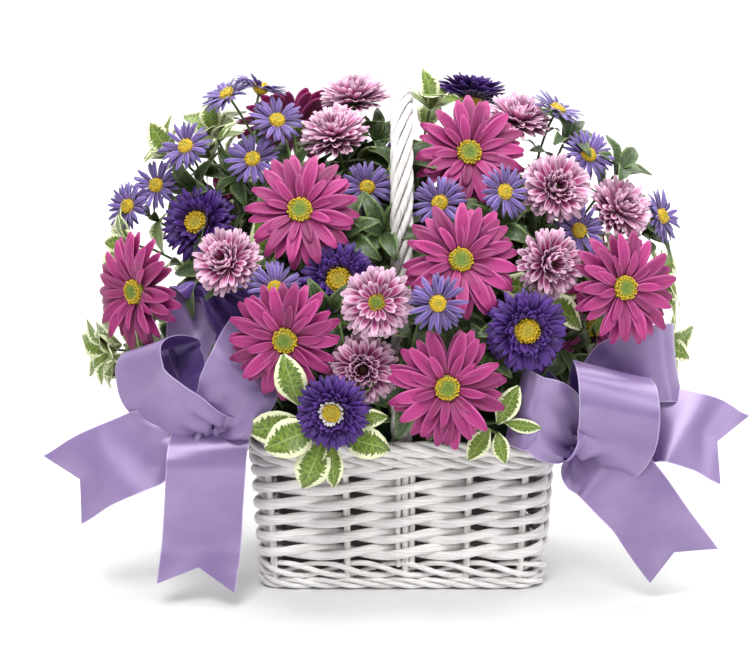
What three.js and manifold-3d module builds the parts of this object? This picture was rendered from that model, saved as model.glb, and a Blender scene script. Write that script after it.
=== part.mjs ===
// A handled willow basket of cut flowers: spray daisies, matsumoto asters, button mums and small lavender asters,
// with sprigs of variegated leaves and two satin bows. Millimetres, +Z up, front towards -Y.
// The origin is the middle of the flat underside, on the surface that the basket stands on.
import * as THREE from "three";
import { mergeVertices } from "three/addons/utils/BufferGeometryUtils.js";
import Module from "manifold-3d";

const wasm = await Module();
wasm.setup();

// ---- driving dimensions -------------------------------------------------------------------------------------------
const RIM_WIDTH = 208; // outer size of the woven wall at its top
const RIM_DEPTH = 152;
const BASE_SHARE = 0.94; // the foot's size as a share of the rim's
const CORNER = 20; // outer corner radius of the wall
const WALL = 6; // thickness of the weave
const BASE_THICK = 6;
const FOOT_TOP = 20;
const WALL_TOP = 88;
const RIM_TOP = 104;
const BORDER_PROUD = 2; // how far the rolled borders stand out past the weave
const BORDER_THICK = 10;
const GAP = 0.35; // air between pieces that touch

const HANDLE_TOP = 335;
const HANDLE_RADIUS = 7.5;

const LINER_WIDTH = 176;
const LINER_DEPTH = 98;
const LINER_CORNER = 14;
const LINER_THICK = 1.2;
const LINER_TOP = 82;
const FOAM_TOP = 112;
const STEM_DEPTH = 34; // how far a stem is pushed into the foam

const RIBBON_WIDTH = 52;
const RIBBON_THICK = 1.2;

// ---- finishes -----------------------------------------------------------------------------------------------------
const finish = (color, roughness, metalness = 0) => new THREE.MeshStandardMaterial({ color, roughness, metalness });
const WILLOW = finish("#eceae6", 0.6);
const LINER = finish("#20251f", 0.4);
const FOAM = finish("#2f4a2c", 0.95);
const SATIN = finish("#a88cc8", 0.35);
const PICK = finish("#6d5a86", 0.5);
const MAGENTA = finish("#b0257f", 0.55);
const PURPLE = finish("#3d1f86", 0.6);
const PINK = finish("#dfa0cf", 0.6);
const LAVENDER = finish("#7a6fc0", 0.6);
const LEAF = finish("#5e8a34", 0.5);

// ---- solids -------------------------------------------------------------------------------------------------------
const arrangement = new THREE.Group();
const foamHoles = [];

function solidOf(geometry) {
  const bare = geometry.index ? geometry.toNonIndexed() : geometry.clone();
  bare.deleteAttribute("normal");
  bare.deleteAttribute("uv");
  const merged = mergeVertices(bare, 1e-4);
  return new wasm.Manifold(
    new wasm.Mesh({
      numProp: 3,
      vertProperties: merged.attributes.position.array,
      triVerts: new Uint32Array(merged.index.array),
    }),
  );
}

function geometryOf(solid) {
  const mesh = solid.getMesh();
  const places = new Float32Array(mesh.numVert * 3);
  for (let i = 0; i < mesh.numVert; i++) {
    places.set(mesh.vertProperties.subarray(i * mesh.numProp, i * mesh.numProp + 3), i * 3);
  }
  return new THREE.BufferGeometry()
    .setAttribute("position", new THREE.BufferAttribute(places, 3))
    .setIndex(new THREE.BufferAttribute(mesh.triVerts, 1));
}

function addNode(name, geometry, material) {
  const mesh = new THREE.Mesh(geometry, material);
  mesh.name = name;
  arrangement.add(mesh);
  return mesh;
}

const vec = (x, y, z) => new THREE.Vector3(x, y, z);

// ---- the basket ---------------------------------------------------------------------------------------------------
function roundedOutline(width, depth, corner) {
  const x = width / 2;
  const y = depth / 2;
  const outline = new THREE.Shape();
  outline.moveTo(-x + corner, -y);
  outline.lineTo(x - corner, -y);
  outline.absarc(x - corner, -y + corner, corner, -Math.PI / 2, 0);
  outline.lineTo(x, y - corner);
  outline.absarc(x - corner, y - corner, corner, 0, Math.PI / 2);
  outline.lineTo(-x + corner, y);
  outline.absarc(-x + corner, y - corner, corner, Math.PI / 2, Math.PI);
  outline.lineTo(-x, -y + corner);
  outline.absarc(-x + corner, -y + corner, corner, Math.PI, 1.5 * Math.PI);
  return outline;
}

// The basket widens from its foot to its rim, so each level is the rim's outline times this share.
const flareAt = (z) => BASE_SHARE + (1 - BASE_SHARE) * (z / RIM_TOP);

function flare(geometry) {
  const places = geometry.attributes.position;
  for (let i = 0; i < places.count; i++) {
    const share = flareAt(places.getZ(i));
    places.setXY(i, places.getX(i) * share, places.getY(i) * share);
  }
  return geometry;
}

function slab(outline, bottom, top) {
  const geometry = new THREE.ExtrudeGeometry(outline, { depth: top - bottom, bevelEnabled: false, curveSegments: 4 });
  return flare(geometry.translate(0, 0, bottom));
}

function ring(proud, thick, bottom, top) {
  const width = RIM_WIDTH + 2 * proud;
  const depth = RIM_DEPTH + 2 * proud;
  const outline = roundedOutline(width, depth, CORNER + proud);
  outline.holes.push(roundedOutline(width - 2 * thick, depth - 2 * thick, CORNER + proud - thick / 2));
  return slab(outline, bottom, top);
}

function addBasket() {
  const inside = BORDER_THICK - BORDER_PROUD + GAP;
  const bottomPlate = roundedOutline(RIM_WIDTH - 2 * inside, RIM_DEPTH - 2 * inside, CORNER - inside / 2);
  addNode("basket_base", slab(bottomPlate, 0, BASE_THICK), WILLOW);
  addNode("basket_foot", ring(BORDER_PROUD, BORDER_THICK, 0, FOOT_TOP), WILLOW);
  addNode("basket_wall", ring(0, WALL, FOOT_TOP + GAP, WALL_TOP), WILLOW);
  addNode("basket_rim", ring(BORDER_PROUD, BORDER_THICK, WALL_TOP + GAP, RIM_TOP), WILLOW);
}

// The handle's line: up inside the front wall, over the arch to the back, and down inside the back wall.
const HANDLE_HALF = [
  [57.2, 26],
  [58.2, 100],
  [66, 190],
  [67, 245],
  [56, 292],
  [32, 320],
];

function handleLine() {
  const front = HANDLE_HALF.map(([reach, height]) => vec(0, -reach, height));
  const back = HANDLE_HALF.map(([reach, height]) => vec(0, reach, height)).reverse();
  return new THREE.CatmullRomCurve3([...front, vec(0, 0, HANDLE_TOP - HANDLE_RADIUS), ...back]);
}

function circleOutline(radius, sides) {
  return new THREE.Shape(
    Array.from({ length: sides }, (_, i) => {
      const turn = (2 * Math.PI * i) / sides;
      return new THREE.Vector2(radius * Math.cos(turn), radius * Math.sin(turn));
    }),
  );
}

function tube(line, radius, sides, steps) {
  return new THREE.ExtrudeGeometry(circleOutline(radius, sides), { extrudePath: line, steps, bevelEnabled: false });
}

function addHandle() {
  addNode("basket_handle", tube(handleLine(), HANDLE_RADIUS, 8, 30), WILLOW);
}

function addLiner() {
  const bottom = BASE_THICK + GAP;
  const outline = roundedOutline(LINER_WIDTH, LINER_DEPTH, LINER_CORNER);
  const insideWidth = LINER_WIDTH - 2 * LINER_THICK;
  const insideDepth = LINER_DEPTH - 2 * LINER_THICK;
  const inside = roundedOutline(insideWidth, insideDepth, LINER_CORNER - LINER_THICK);
  const outer = solidOf(slab(outline, bottom, LINER_TOP));
  const hollow = slab(inside, bottom + LINER_THICK, LINER_TOP + LINER_THICK); // the cut passes right through the top
  addNode("plastic_liner", geometryOf(outer.subtract(solidOf(hollow))), LINER);
}

// The foam block fills the liner and stands a little over the rim. Each stem's own hole is cut in it.
function addFoam(stemHoles) {
  const inset = 2 * (LINER_THICK + GAP);
  const outline = roundedOutline(LINER_WIDTH - inset, LINER_DEPTH - inset, LINER_CORNER - inset / 2);
  let block = solidOf(slab(outline, BASE_THICK + LINER_THICK + 2 * GAP, FOAM_TOP));
  for (const hole of stemHoles) block = block.subtract(hole);
  addNode("floral_foam", geometryOf(block), FOAM);
}

// ---- ribbons ------------------------------------------------------------------------------------------------------
// A length of ribbon through a row of stations: its middle, the way that its width runs, and the share of its full
// width that it has there. `notch` makes its far end a swallowtail.
function ribbon({ stations, notch = 0, extra = 0 }) {
  const places = stations.map(([middle]) => vec(...middle));
  const steps = places.length - 1;
  const corners = [];
  for (let i = 0; i <= steps; i++) {
    const before = places[Math.max(i - 1, 0)];
    const after = places[Math.min(i + 1, steps)];
    const along = after.clone().sub(before).normalize();
    const wide = vec(...stations[i][1]);
    const side = wide.clone().addScaledVector(along, -wide.dot(along)).normalize();
    const up = new THREE.Vector3().crossVectors(along, side).multiplyScalar(RIBBON_THICK / 2 + extra);
    for (const column of [-1, 0, 1]) {
      const place = places[i].clone().addScaledVector(side, column * ((RIBBON_WIDTH * stations[i][2]) / 2 + extra));
      if (i === steps && column !== 0) place.addScaledVector(along, notch);
      corners.push([place.clone().add(up), place.clone().sub(up)]);
    }
  }
  const triangles = [];
  const corner = (i, column, under) => corners[3 * i + column][under].toArray();
  const quad = (a, b, c, d) => triangles.push(a, b, c, a, c, d);
  for (let i = 0; i < steps; i++) {
    for (const column of [0, 1]) {
      quad(corner(i, column, 0), corner(i + 1, column, 0), corner(i + 1, column + 1, 0), corner(i, column + 1, 0));
      quad(corner(i, column, 1), corner(i, column + 1, 1), corner(i + 1, column + 1, 1), corner(i + 1, column, 1));
    }
    quad(corner(i, 0, 0), corner(i, 0, 1), corner(i + 1, 0, 1), corner(i + 1, 0, 0));
    quad(corner(i, 2, 0), corner(i + 1, 2, 0), corner(i + 1, 2, 1), corner(i, 2, 1));
  }
  for (const column of [0, 1]) {
    quad(corner(0, column, 0), corner(0, column + 1, 0), corner(0, column + 1, 1), corner(0, column, 1));
    quad(corner(steps, column, 0), corner(steps, column, 1), corner(steps, column + 1, 1), corner(steps, column + 1, 0));
  }
  return new THREE.BufferGeometry().setAttribute(
    "position",
    new THREE.BufferAttribute(new Float32Array(triangles.flat()), 3),
  );
}

// The biggest body of what is left of `solid` once the other pieces' room is taken out of it.
function clearOf(solid, rooms) {
  let left = solid;
  for (const room of rooms) left = left.subtract(room);
  const bodies = left.decompose().sort((a, b) => b.volume() - a.volume());
  return bodies[0];
}

const BOWS = {
  left: {
    knot: [-124, -92, 120],
    pickEnd: [-70, -30, 80],
    ribbons: {
      loop_front: {
        stations: [
          [[-129, -97, 126], [-0.63, 0.67, -0.38], 0.35],
          [[-140, -99, 127], [-0.63, 0.67, -0.38], 0.5],
          [[-158, -100, 135], [-0.63, 0.67, -0.38], 0.8],
          [[-172, -99, 145], [-0.63, 0.67, -0.38], 1],
          [[-175, -91, 164], [-0.63, 0.67, -0.38], 1],
          [[-170, -83, 171], [-0.63, 0.67, -0.38], 1],
          [[-161, -74, 172], [-0.63, 0.67, -0.38], 1],
          [[-147, -63, 167], [-0.63, 0.67, -0.38], 1],
          [[-138, -64, 158], [-0.63, 0.67, -0.38], 0.85],
          [[-135, -76, 144], [-0.63, 0.67, -0.38], 0.65],
          [[-130, -88, 130], [-0.63, 0.67, -0.38], 0.35],
        ],
      },
      loop_inner: {
        stations: [
          [[-120, -101, 125], [0.68, 0, -0.73], 0.35],
          [[-112, -104, 140], [0.68, 0, -0.73], 0.7],
          [[-104, -103, 156], [0.68, 0, -0.73], 1],
          [[-97, -97, 168], [0.68, 0, -0.73], 1],
          [[-94, -88, 172], [0.68, 0, -0.73], 1],
          [[-97, -79, 166], [0.68, 0, -0.73], 1],
          [[-106, -77, 148], [0.68, 0, -0.73], 0.8],
          [[-117, -87, 128], [0.68, 0, -0.73], 0.35],
        ],
      },
      loop_back: {
        stations: [
          [[-125, -82, 130], [1, 0, 0], 0.35],
          [[-132, -62, 158], [1, 0, 0], 0.8],
          [[-131, -50, 184], [1, 0, 0.05], 1],
          [[-130, -45, 203], [1, 0, 0.2], 1],
          [[-130, -47, 210], [0.9, 0, 0.45], 0.8],
          [[-126, -53, 208], [0.8, 0, 0.6], 0.5],
          [[-118, -60, 197], [0.72, 0, 0.69], 0.6],
          [[-106, -62, 186], [0.7, 0, 0.7], 0.85],
          [[-99, -65, 170], [0.7, 0, 0.7], 0.9],
          [[-106, -74, 148], [0.8, 0, 0.6], 0.6],
          [[-118, -83, 130], [1, 0, 0.2], 0.35],
        ],
      },
      tail_out: {
        notch: 15,
        stations: [
          [[-133, -96, 116], [0.5, -0.3, -0.8], 0.4],
          [[-156, -98, 111], [0.5, -0.3, -0.8], 0.8],
          [[-175, -101, 104], [0.5, -0.3, -0.8], 1],
          [[-198, -101, 94], [0.5, -0.3, -0.8], 1],
          [[-216, -97, 83], [0.5, -0.3, -0.8], 1],
        ],
      },
      tail_down: {
        notch: 14,
        stations: [
          [[-126, -99, 113], [1, 0, 0], 0.5],
          [[-127, -108, 108], [1, 0, 0], 0.85],
          [[-128, -112, 94], [1, 0, 0.02], 1],
          [[-130, -109, 67], [1, 0, 0.04], 1],
          [[-133, -105, 39], [1, 0, 0.06], 1],
          [[-135, -107, 20], [1, 0, 0.06], 1],
        ],
      },
    },
  },
  right: {
    knot: [117, -90, 108],
    pickEnd: [68, -30, 80],
    ribbons: {
      loop_inner: {
        stations: [
          [[111, -97, 112], [-0.18, 0, -0.98], 0.35],
          [[104, -106, 120], [-0.18, 0, -0.98], 0.7],
          [[95, -114, 130], [-0.18, 0, -0.98], 0.92],
          [[84, -117, 134], [-0.18, 0, -0.98], 0.92],
          [[76, -110, 137], [-0.18, 0, -0.98], 0.96],
          [[74, -98, 138], [-0.18, 0, -0.98], 1],
          [[80, -88, 135], [-0.18, 0, -0.98], 1],
          [[96, -84, 126], [-0.18, 0, -0.98], 0.75],
          [[110, -87, 112], [-0.18, 0, -0.98], 0.35],
        ],
      },
      loop_middle: {
        stations: [
          [[124, -94, 104], [0.98, 0, -0.2], 0.4],
          [[134, -103, 106], [0.98, 0, -0.2], 0.75],
          [[138, -113, 114], [0.98, 0, -0.2], 0.95],
          [[140, -121, 126], [0.98, 0, -0.2], 0.95],
          [[140, -122, 140], [0.98, 0, -0.2], 0.95],
          [[139, -114, 153], [0.98, 0, -0.2], 0.95],
          [[137, -100, 159], [0.98, 0, -0.2], 0.95],
          [[136, -88, 156], [0.98, 0, -0.2], 0.9],
          [[132, -80, 142], [0.98, 0, -0.2], 0.8],
          [[124, -84, 116], [0.98, 0, -0.2], 0.35],
        ],
      },
      loop_outer: {
        stations: [
          [[126, -80, 116], [-0.12, 0, 1], 0.35],
          [[134, -76, 140], [-0.12, 0, 1], 0.7],
          [[147, -80, 152], [-0.12, 0, 1], 0.95],
          [[163, -84, 159], [-0.12, 0, 1], 1],
          [[175, -81, 160], [-0.12, 0, 1], 1],
          [[182, -70, 157], [-0.12, 0, 1], 1],
          [[178, -59, 153], [-0.12, 0, 1], 1],
          [[162, -55, 149], [-0.12, 0, 1], 1],
          [[142, -61, 136], [-0.12, 0, 1], 0.75],
          [[125, -73, 115], [-0.12, 0, 1], 0.35],
        ],
      },
      tail_out: {
        notch: 13,
        stations: [
          [[130, -84, 108], [-0.1, -0.5, -0.86], 0.4],
          [[150, -84, 115], [-0.1, -0.5, -0.86], 0.8],
          [[172, -88, 120], [-0.1, -0.5, -0.86], 0.95],
          [[195, -93, 116], [-0.1, -0.5, -0.86], 1],
          [[215, -94, 108], [-0.1, -0.5, -0.86], 1],
        ],
      },
      tail_down: {
        notch: 13,
        stations: [
          [[122, -98, 104], [0.88, -0.2, 0.4], 0.5],
          [[131, -102, 99], [0.88, -0.2, 0.4], 0.75],
          [[141, -107, 88], [0.88, -0.2, 0.4], 0.95],
          [[157, -110, 69], [0.88, -0.2, 0.4], 1],
          [[171, -107, 49], [0.88, -0.2, 0.4], 1],
          [[180, -103, 36], [0.88, -0.2, 0.4], 1],
        ],
      },
    },
  },
};

// Each length of ribbon leaves room for the binding and for the lengths laid before it.
function addBow(name, { knot, pickEnd, ribbons }) {
  const rooms = [addBowPick(`${name}_bow_pick`, vec(...knot), vec(...pickEnd))];
  for (const [part, shape] of Object.entries(ribbons)) {
    const length = clearOf(solidOf(ribbon(shape)), rooms);
    addNode(`${name}_bow_${part}`, geometryOf(length), SATIN);
    rooms.push(solidOf(ribbon({ ...shape, extra: GAP })));
  }
}

// The binding round the middle of a bow, on the wooden pick that holds it in the foam. Gives back the room it takes.
function bowPick(knot, pickEnd, extra) {
  const binding = new THREE.SphereGeometry(1, 10, 6).scale(6 + extra, 6 + extra, 7 + extra);
  const over = knot.clone().add(vec(0, 0, 4));
  const bend = vec(knot.x * 0.8, knot.y * 0.87, knot.z + 13);
  const line = new THREE.CatmullRomCurve3([knot, over.lerp(bend, 0.5), bend, pickEnd], false, "centripetal");
  return solidOf(binding.translate(...knot.toArray())).add(solidOf(tube(line, 1.4 + extra, 6, 8)));
}

function addBowPick(name, knot, pickEnd) {
  addNode(name, geometryOf(bowPick(knot, pickEnd, 0)), PICK);
  const room = bowPick(knot, pickEnd, GAP);
  foamHoles.push(room);
  return room;
}

// ---- flowers ------------------------------------------------------------------------------------------------------
// Each kind's profile runs from the base of the calyx out to the petal tips and back in to the eye, as [radius, height].
const KINDS = {
  daisy: {
    material: MAGENTA,
    sides: 10,
    stem: 1.8,
    profile: [[0, -7], [6.5, -4], [38, 4], [37, 6], [8.5, 3], [0, 7]],
  },
  matsumoto: {
    material: PURPLE,
    sides: 10,
    stem: 1.7,
    profile: [[0, -9], [8, -6], [27, 0], [26, 6], [8, 8], [0, 10]],
  },
  button: {
    material: PINK,
    sides: 10,
    stem: 1.5,
    profile: [[0, -9], [8, -7], [22, -2], [23, 4], [12, 10], [0, 11]],
  },
  aster: {
    material: LAVENDER,
    sides: 8,
    stem: 1.1,
    profile: [[0, -8], [3.5, -5], [17.5, 1], [17, 2.6], [4.5, 2.2], [0, 4.5]],
  },
  leaf: {
    material: LEAF,
    sides: 8,
    stem: 1.4,
    profile: [[0, -12], [4, -9], [19, 2], [20, 5], [6, 2], [0, 4]],
  },
};

const ROOT_SPREAD = [0.36, 0.3]; // where a stem enters the foam, as a share of where its bloom is

// A bloom is its middle [x, y, z] and the way that it faces.
const bloom = (x, y, z, faces) => ({ at: vec(x, y, z), faces: vec(...faces).normalize() });

// One cut stem with its bloom, or a spray with several on one stem.
const PLANTS = [
  // spray daisies
  { name: "magenta_daisy_upper_left", kind: "daisy", blooms: [bloom(-66, -74, 260, [-0.12, -0.88, 0.42])] },
  { name: "magenta_daisy_upper_right", kind: "daisy", blooms: [bloom(45, -32, 292, [0.1, -0.9, 0.42])] },
  { name: "magenta_daisy_middle_right", kind: "daisy", blooms: [bloom(38, -96, 231, [0.1, -0.93, 0.36])] },
  { name: "magenta_daisy_low_front", kind: "daisy", root: [18, -30], blooms: [bloom(29, -128, 154, [0.05, -0.98, 0.12])] },
  { name: "magenta_daisy_low_left", kind: "daisy", blooms: [bloom(-75, -112, 182, [-0.1, -0.98, 0])] },
  { name: "magenta_daisy_far_left", kind: "daisy", blooms: [bloom(-177, -51, 202, [-0.7, -0.71, 0.05])] },
  { name: "magenta_daisy_far_right", kind: "daisy", blooms: [bloom(144, -91, 212, [0.4, -0.88, 0.2])] },
  { name: "magenta_daisy_low_right", kind: "daisy", root: [62, -22], blooms: [bloom(128, -42, 178, [0.5, -0.8, -0.3])] },
  { name: "magenta_daisy_top_left", kind: "daisy", blooms: [bloom(-76, 50, 300, [-0.1, 0.75, 0.65])] },
  {
    name: "magenta_daisy_back_left",
    kind: "daisy",
    blooms: [bloom(-118, 70, 236, [-0.5, 0.75, 0.4]), bloom(-50, 108, 196, [-0.15, 0.97, 0.1])],
  },
  {
    name: "magenta_daisy_back_right",
    kind: "daisy",
    root: [52, 12],
    blooms: [bloom(56, 96, 240, [0.3, 0.85, 0.45]), bloom(132, 66, 192, [0.7, 0.65, 0.1])],
  },
  // matsumoto asters
  { name: "purple_aster_left", kind: "matsumoto", blooms: [bloom(-137, -20, 242, [-0.35, -0.85, 0.4])] },
  { name: "purple_aster_middle", kind: "matsumoto", blooms: [bloom(-41, -72, 216, [0, -0.95, 0.3])] },
  { name: "purple_aster_right", kind: "matsumoto", blooms: [bloom(80, -110, 188, [0.1, -0.97, 0.1])] },
  { name: "purple_aster_low_left", kind: "matsumoto", blooms: [bloom(-44, -131, 139, [-0.1, -0.97, 0.1])] },
  { name: "purple_aster_top", kind: "matsumoto", blooms: [bloom(48, 44, 322, [0.1, 0.3, 0.95])] },
  {
    name: "purple_aster_back",
    kind: "matsumoto",
    root: [4, 34],
    blooms: [bloom(-12, 104, 258, [-0.1, 0.85, 0.5]), bloom(84, 112, 176, [0.35, 0.9, 0.1])],
  },
  // button mums
  { name: "pink_mum_left", kind: "button", blooms: [bloom(-113.5, -81, 227, [-0.3, -0.8, 0.5])] },
  {
    name: "pink_mum_top_pair",
    kind: "button",
    blooms: [bloom(-45, -20, 303, [-0.15, -0.5, 0.85]), bloom(-33, 16, 323, [-0.1, -0.2, 1])],
  },
  { name: "pink_mum_middle", kind: "button", blooms: [bloom(-16, -114, 207, [-0.05, -0.97, 0.2])] },
  { name: "pink_mum_low", kind: "button", blooms: [bloom(-25, -104, 161, [0, -0.98, 0.1])] },
  {
    name: "pink_mum_right_pair",
    kind: "button",
    blooms: [bloom(102, -46, 270, [0.2, -0.9, 0.4]), bloom(147, -14, 251, [0.5, -0.6, 0.6])],
  },
  { name: "pink_mum_middle_right", kind: "button", blooms: [bloom(95, -82, 227, [0.45, -0.88, 0.15])] },
  { name: "pink_mum_top_right", kind: "button", blooms: [bloom(80, 12, 309, [0.2, -0.4, 0.9])] },
  {
    name: "pink_mum_back",
    kind: "button",
    root: [-16, 26],
    blooms: [bloom(-62, 100, 250, [-0.2, 0.8, 0.6]), bloom(12, 122, 202, [0, 0.97, 0.2])],
  },
  { name: "pink_mum_back_right", kind: "button", blooms: [bloom(108, 66, 256, [0.5, 0.55, 0.65])] },
  // lavender asters
  {
    name: "lavender_aster_upper_left",
    kind: "aster",
    blooms: [
      bloom(-100, -24, 287, [-0.2, -0.8, 0.55]),
      bloom(-84, -16, 312, [0.15, -0.7, 0.7]),
      bloom(-118, -2, 328, [-0.5, -0.3, 0.8]),
      bloom(-96, 4, 332, [0.3, 0.2, 0.95]),
    ],
  },
  {
    name: "lavender_aster_left",
    kind: "aster",
    blooms: [
      bloom(-146, -12, 294, [-0.3, -0.75, 0.6]),
      bloom(-168, 4, 265, [-0.4, -0.8, 0.45]),
      bloom(-188, 6, 250, [-0.6, -0.7, 0.4]),
    ],
  },
  { name: "lavender_aster_handle_left", kind: "aster", blooms: [bloom(-23, -46, 271, [0.05, -0.9, 0.42])] },
  {
    name: "lavender_aster_handle_right",
    kind: "aster",
    blooms: [bloom(25, -62, 263, [-0.05, -0.9, 0.42]), bloom(67, -66, 271, [0.5, -0.75, 0.35])],
  },
  { name: "lavender_aster_middle", kind: "aster", blooms: [bloom(23, -128, 209, [-0.05, -0.97, 0.25])] },
  { name: "lavender_aster_middle_left", kind: "aster", blooms: [bloom(-82, -98, 213, [0, -0.85, 0.5])] },
  {
    name: "lavender_aster_upper_right",
    kind: "aster",
    blooms: [bloom(127, -4, 287, [0.3, -0.75, 0.6]), bloom(106, 12, 316, [0.45, -0.2, 0.9])],
  },
  {
    name: "lavender_aster_right",
    kind: "aster",
    blooms: [bloom(118, -40, 241, [0.4, -0.85, 0.35]), bloom(178, 2, 244, [0.8, -0.5, 0.3])],
  },
  {
    name: "lavender_aster_back",
    kind: "aster",
    blooms: [
      bloom(-102, 88, 186, [-0.6, 0.8, 0.1]),
      bloom(-34, 128, 226, [-0.1, 0.9, 0.3]),
      bloom(38, 110, 166, [0.1, 0.97, 0]),
    ],
  },
  // sprigs of variegated leaves: each bloom is the tip of a side shoot with its rosette of leaves
  {
    name: "leaf_sprig_front_left",
    kind: "leaf",
    blooms: [bloom(-66, -102, 112, [-0.3, -0.9, -0.1]), bloom(-20, -102, 114, [0.1, -0.95, -0.1])],
  },
  { name: "leaf_sprig_front_right", kind: "leaf", root: [44, -30], blooms: [bloom(46, -98, 117, [0.2, -0.9, -0.1])] },
  { name: "leaf_sprig_right", kind: "leaf", blooms: [bloom(172, 12, 196, [0.85, -0.2, 0.35])] },
  { name: "leaf_sprig_left", kind: "leaf", blooms: [bloom(-196, -10, 156, [-0.9, -0.3, 0])] },
  {
    name: "leaf_sprig_top",
    kind: "leaf",
    blooms: [bloom(-134, 36, 282, [-0.5, -0.1, 0.85]), bloom(20, 26, 276, [0, 0, 1])],
  },
  {
    name: "leaf_sprig_back",
    kind: "leaf",
    blooms: [bloom(-8, 106, 140, [-0.1, 0.95, 0]), bloom(-92, 78, 134, [-0.5, 0.8, 0])],
  },
];

// ---- making the flowers -------------------------------------------------------------------------------------------
function headGeometry({ profile, sides }, { at, faces }) {
  const outline = profile.map(([radius, height]) => new THREE.Vector2(radius, height));
  const head = new THREE.LatheGeometry(outline, sides);
  // The lathe turns about Y, so Y is swung to the way that the bloom faces.
  const swing = new THREE.Quaternion().setFromUnitVectors(vec(0, 1, 0), faces);
  return head.applyQuaternion(swing).translate(...at.toArray());
}

const STEM_SINK = 4; // how far behind its bloom's middle a stem ends, inside the calyx
const STEM_LIFT = 0.35; // how far a stem keeps its first direction, as a share of its reach
const STEM_TURN = 0.3; // how far back from the bloom it turns to face the way that the bloom does
const STEM_SIDES = 5;
const FORK_SHARE = 0.55; // how far up to its blooms a spray forks
const FORK_RISE = 12;
const BRANCH_SHARE = 0.85; // a side stem's thickness as a share of the main stem's

// A stem's line: up out of the foam from its root, then round to meet the back of its bloom.
function stemLine(root, { at, faces }) {
  const end = at.clone().addScaledVector(faces, -STEM_SINK);
  const reach = end.distanceTo(root);
  const lift = end.clone().sub(root).normalize().add(vec(0, 0, 1)).normalize();
  return new THREE.CubicBezierCurve3(
    root,
    root.clone().addScaledVector(lift, STEM_LIFT * reach),
    end.clone().addScaledVector(faces, -STEM_TURN * reach),
    end,
  );
}

const middleOf = ({ blooms }) => blooms.reduce((sum, { at }) => sum.add(at), vec(0, 0, 0)).divideScalar(blooms.length);

function rootOf(plant) {
  if (plant.root) return vec(...plant.root, FOAM_TOP - STEM_DEPTH);
  const middle = middleOf(plant);
  return vec(middle.x * ROOT_SPREAD[0], middle.y * ROOT_SPREAD[1], FOAM_TOP - STEM_DEPTH);
}

// The stems of a plant as one list of tubes: a single stem, or a main stem that forks to each bloom.
function stemTubes(plant, extra) {
  const radius = KINDS[plant.kind].stem + extra;
  const root = rootOf(plant);
  if (plant.blooms.length === 1) return [tube(stemLine(root, plant.blooms[0]), radius, STEM_SIDES, 5)];
  const fork = root.clone().lerp(middleOf(plant), FORK_SHARE).add(vec(0, 0, FORK_RISE));
  const trunk = tube(new THREE.LineCurve3(root, fork), radius, STEM_SIDES, 1);
  const branches = plant.blooms.map((b) => tube(stemLine(fork.clone(), b), radius * BRANCH_SHARE, STEM_SIDES, 4));
  return [trunk, ...branches];
}

const joined = (solids) => solids.reduce((whole, next) => whole.add(next));

function makePlants() {
  return PLANTS.map((plant) => {
    const kind = KINDS[plant.kind];
    return {
      name: plant.name,
      material: kind.material,
      heads: joined(plant.blooms.map((b) => solidOf(headGeometry(kind, b)))),
      stems: joined(stemTubes(plant, 0).map(solidOf)),
      room: joined(stemTubes(plant, GAP).map(solidOf)),
    };
  });
}

// ---- building -----------------------------------------------------------------------------------------------------
function addPlants(plants) {
  for (const plant of plants) {
    let heads = plant.heads;
    for (const other of plants) if (other !== plant) heads = heads.subtract(other.room);
    addNode(plant.name, geometryOf(heads.add(plant.stems)), plant.material);
  }
}

addBasket();
addHandle();
addLiner();

const plants = makePlants();
addPlants(plants);
addBow("left", BOWS.left);
addBow("right", BOWS.right);
addFoam([...foamHoles, ...plants.map((plant) => plant.room)]);

export default arrangement;
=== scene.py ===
"""A handled willow basket of cut flowers with two satin bows, in metres, front towards -Y."""

import math
import random

import bmesh
import bpy
from mathutils import Matrix, Vector


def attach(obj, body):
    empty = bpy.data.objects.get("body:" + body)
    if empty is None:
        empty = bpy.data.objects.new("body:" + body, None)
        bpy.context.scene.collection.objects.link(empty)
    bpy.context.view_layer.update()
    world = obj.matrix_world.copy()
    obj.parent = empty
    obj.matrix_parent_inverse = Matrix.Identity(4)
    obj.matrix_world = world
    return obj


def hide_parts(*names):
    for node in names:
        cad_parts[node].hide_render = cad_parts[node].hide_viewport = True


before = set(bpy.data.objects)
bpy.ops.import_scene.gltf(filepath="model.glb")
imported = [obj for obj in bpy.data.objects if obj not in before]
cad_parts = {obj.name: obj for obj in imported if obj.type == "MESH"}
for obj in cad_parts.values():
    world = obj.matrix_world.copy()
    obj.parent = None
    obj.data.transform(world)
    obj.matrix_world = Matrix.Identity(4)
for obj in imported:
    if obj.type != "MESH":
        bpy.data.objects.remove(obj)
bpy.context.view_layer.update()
MM = 0.001
rng = random.Random(7)


# ---- camera --------------------------------------------------------------------------------------
CAMERA_AIM = Vector((0, -0.075, 0.18))
CAMERA_DISTANCE = 1.5
CAMERA_RISE = math.radians(12)
CAMERA_LENS = 109
CAMERA_SENSOR = 36
CAMERA_SHIFT = -0.035


def add_camera():
    camera = bpy.data.objects.new("camera", bpy.data.cameras.new("camera"))
    bpy.context.collection.objects.link(camera)
    bpy.context.scene.camera = camera
    away = Vector((0, -math.cos(CAMERA_RISE), math.sin(CAMERA_RISE)))
    camera.location = CAMERA_AIM + CAMERA_DISTANCE * away
    camera.rotation_euler = (math.radians(90) - CAMERA_RISE, 0, 0)
    camera.data.lens = CAMERA_LENS
    camera.data.sensor_width = CAMERA_SENSOR
    camera.data.shift_x = CAMERA_SHIFT


add_camera()


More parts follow.
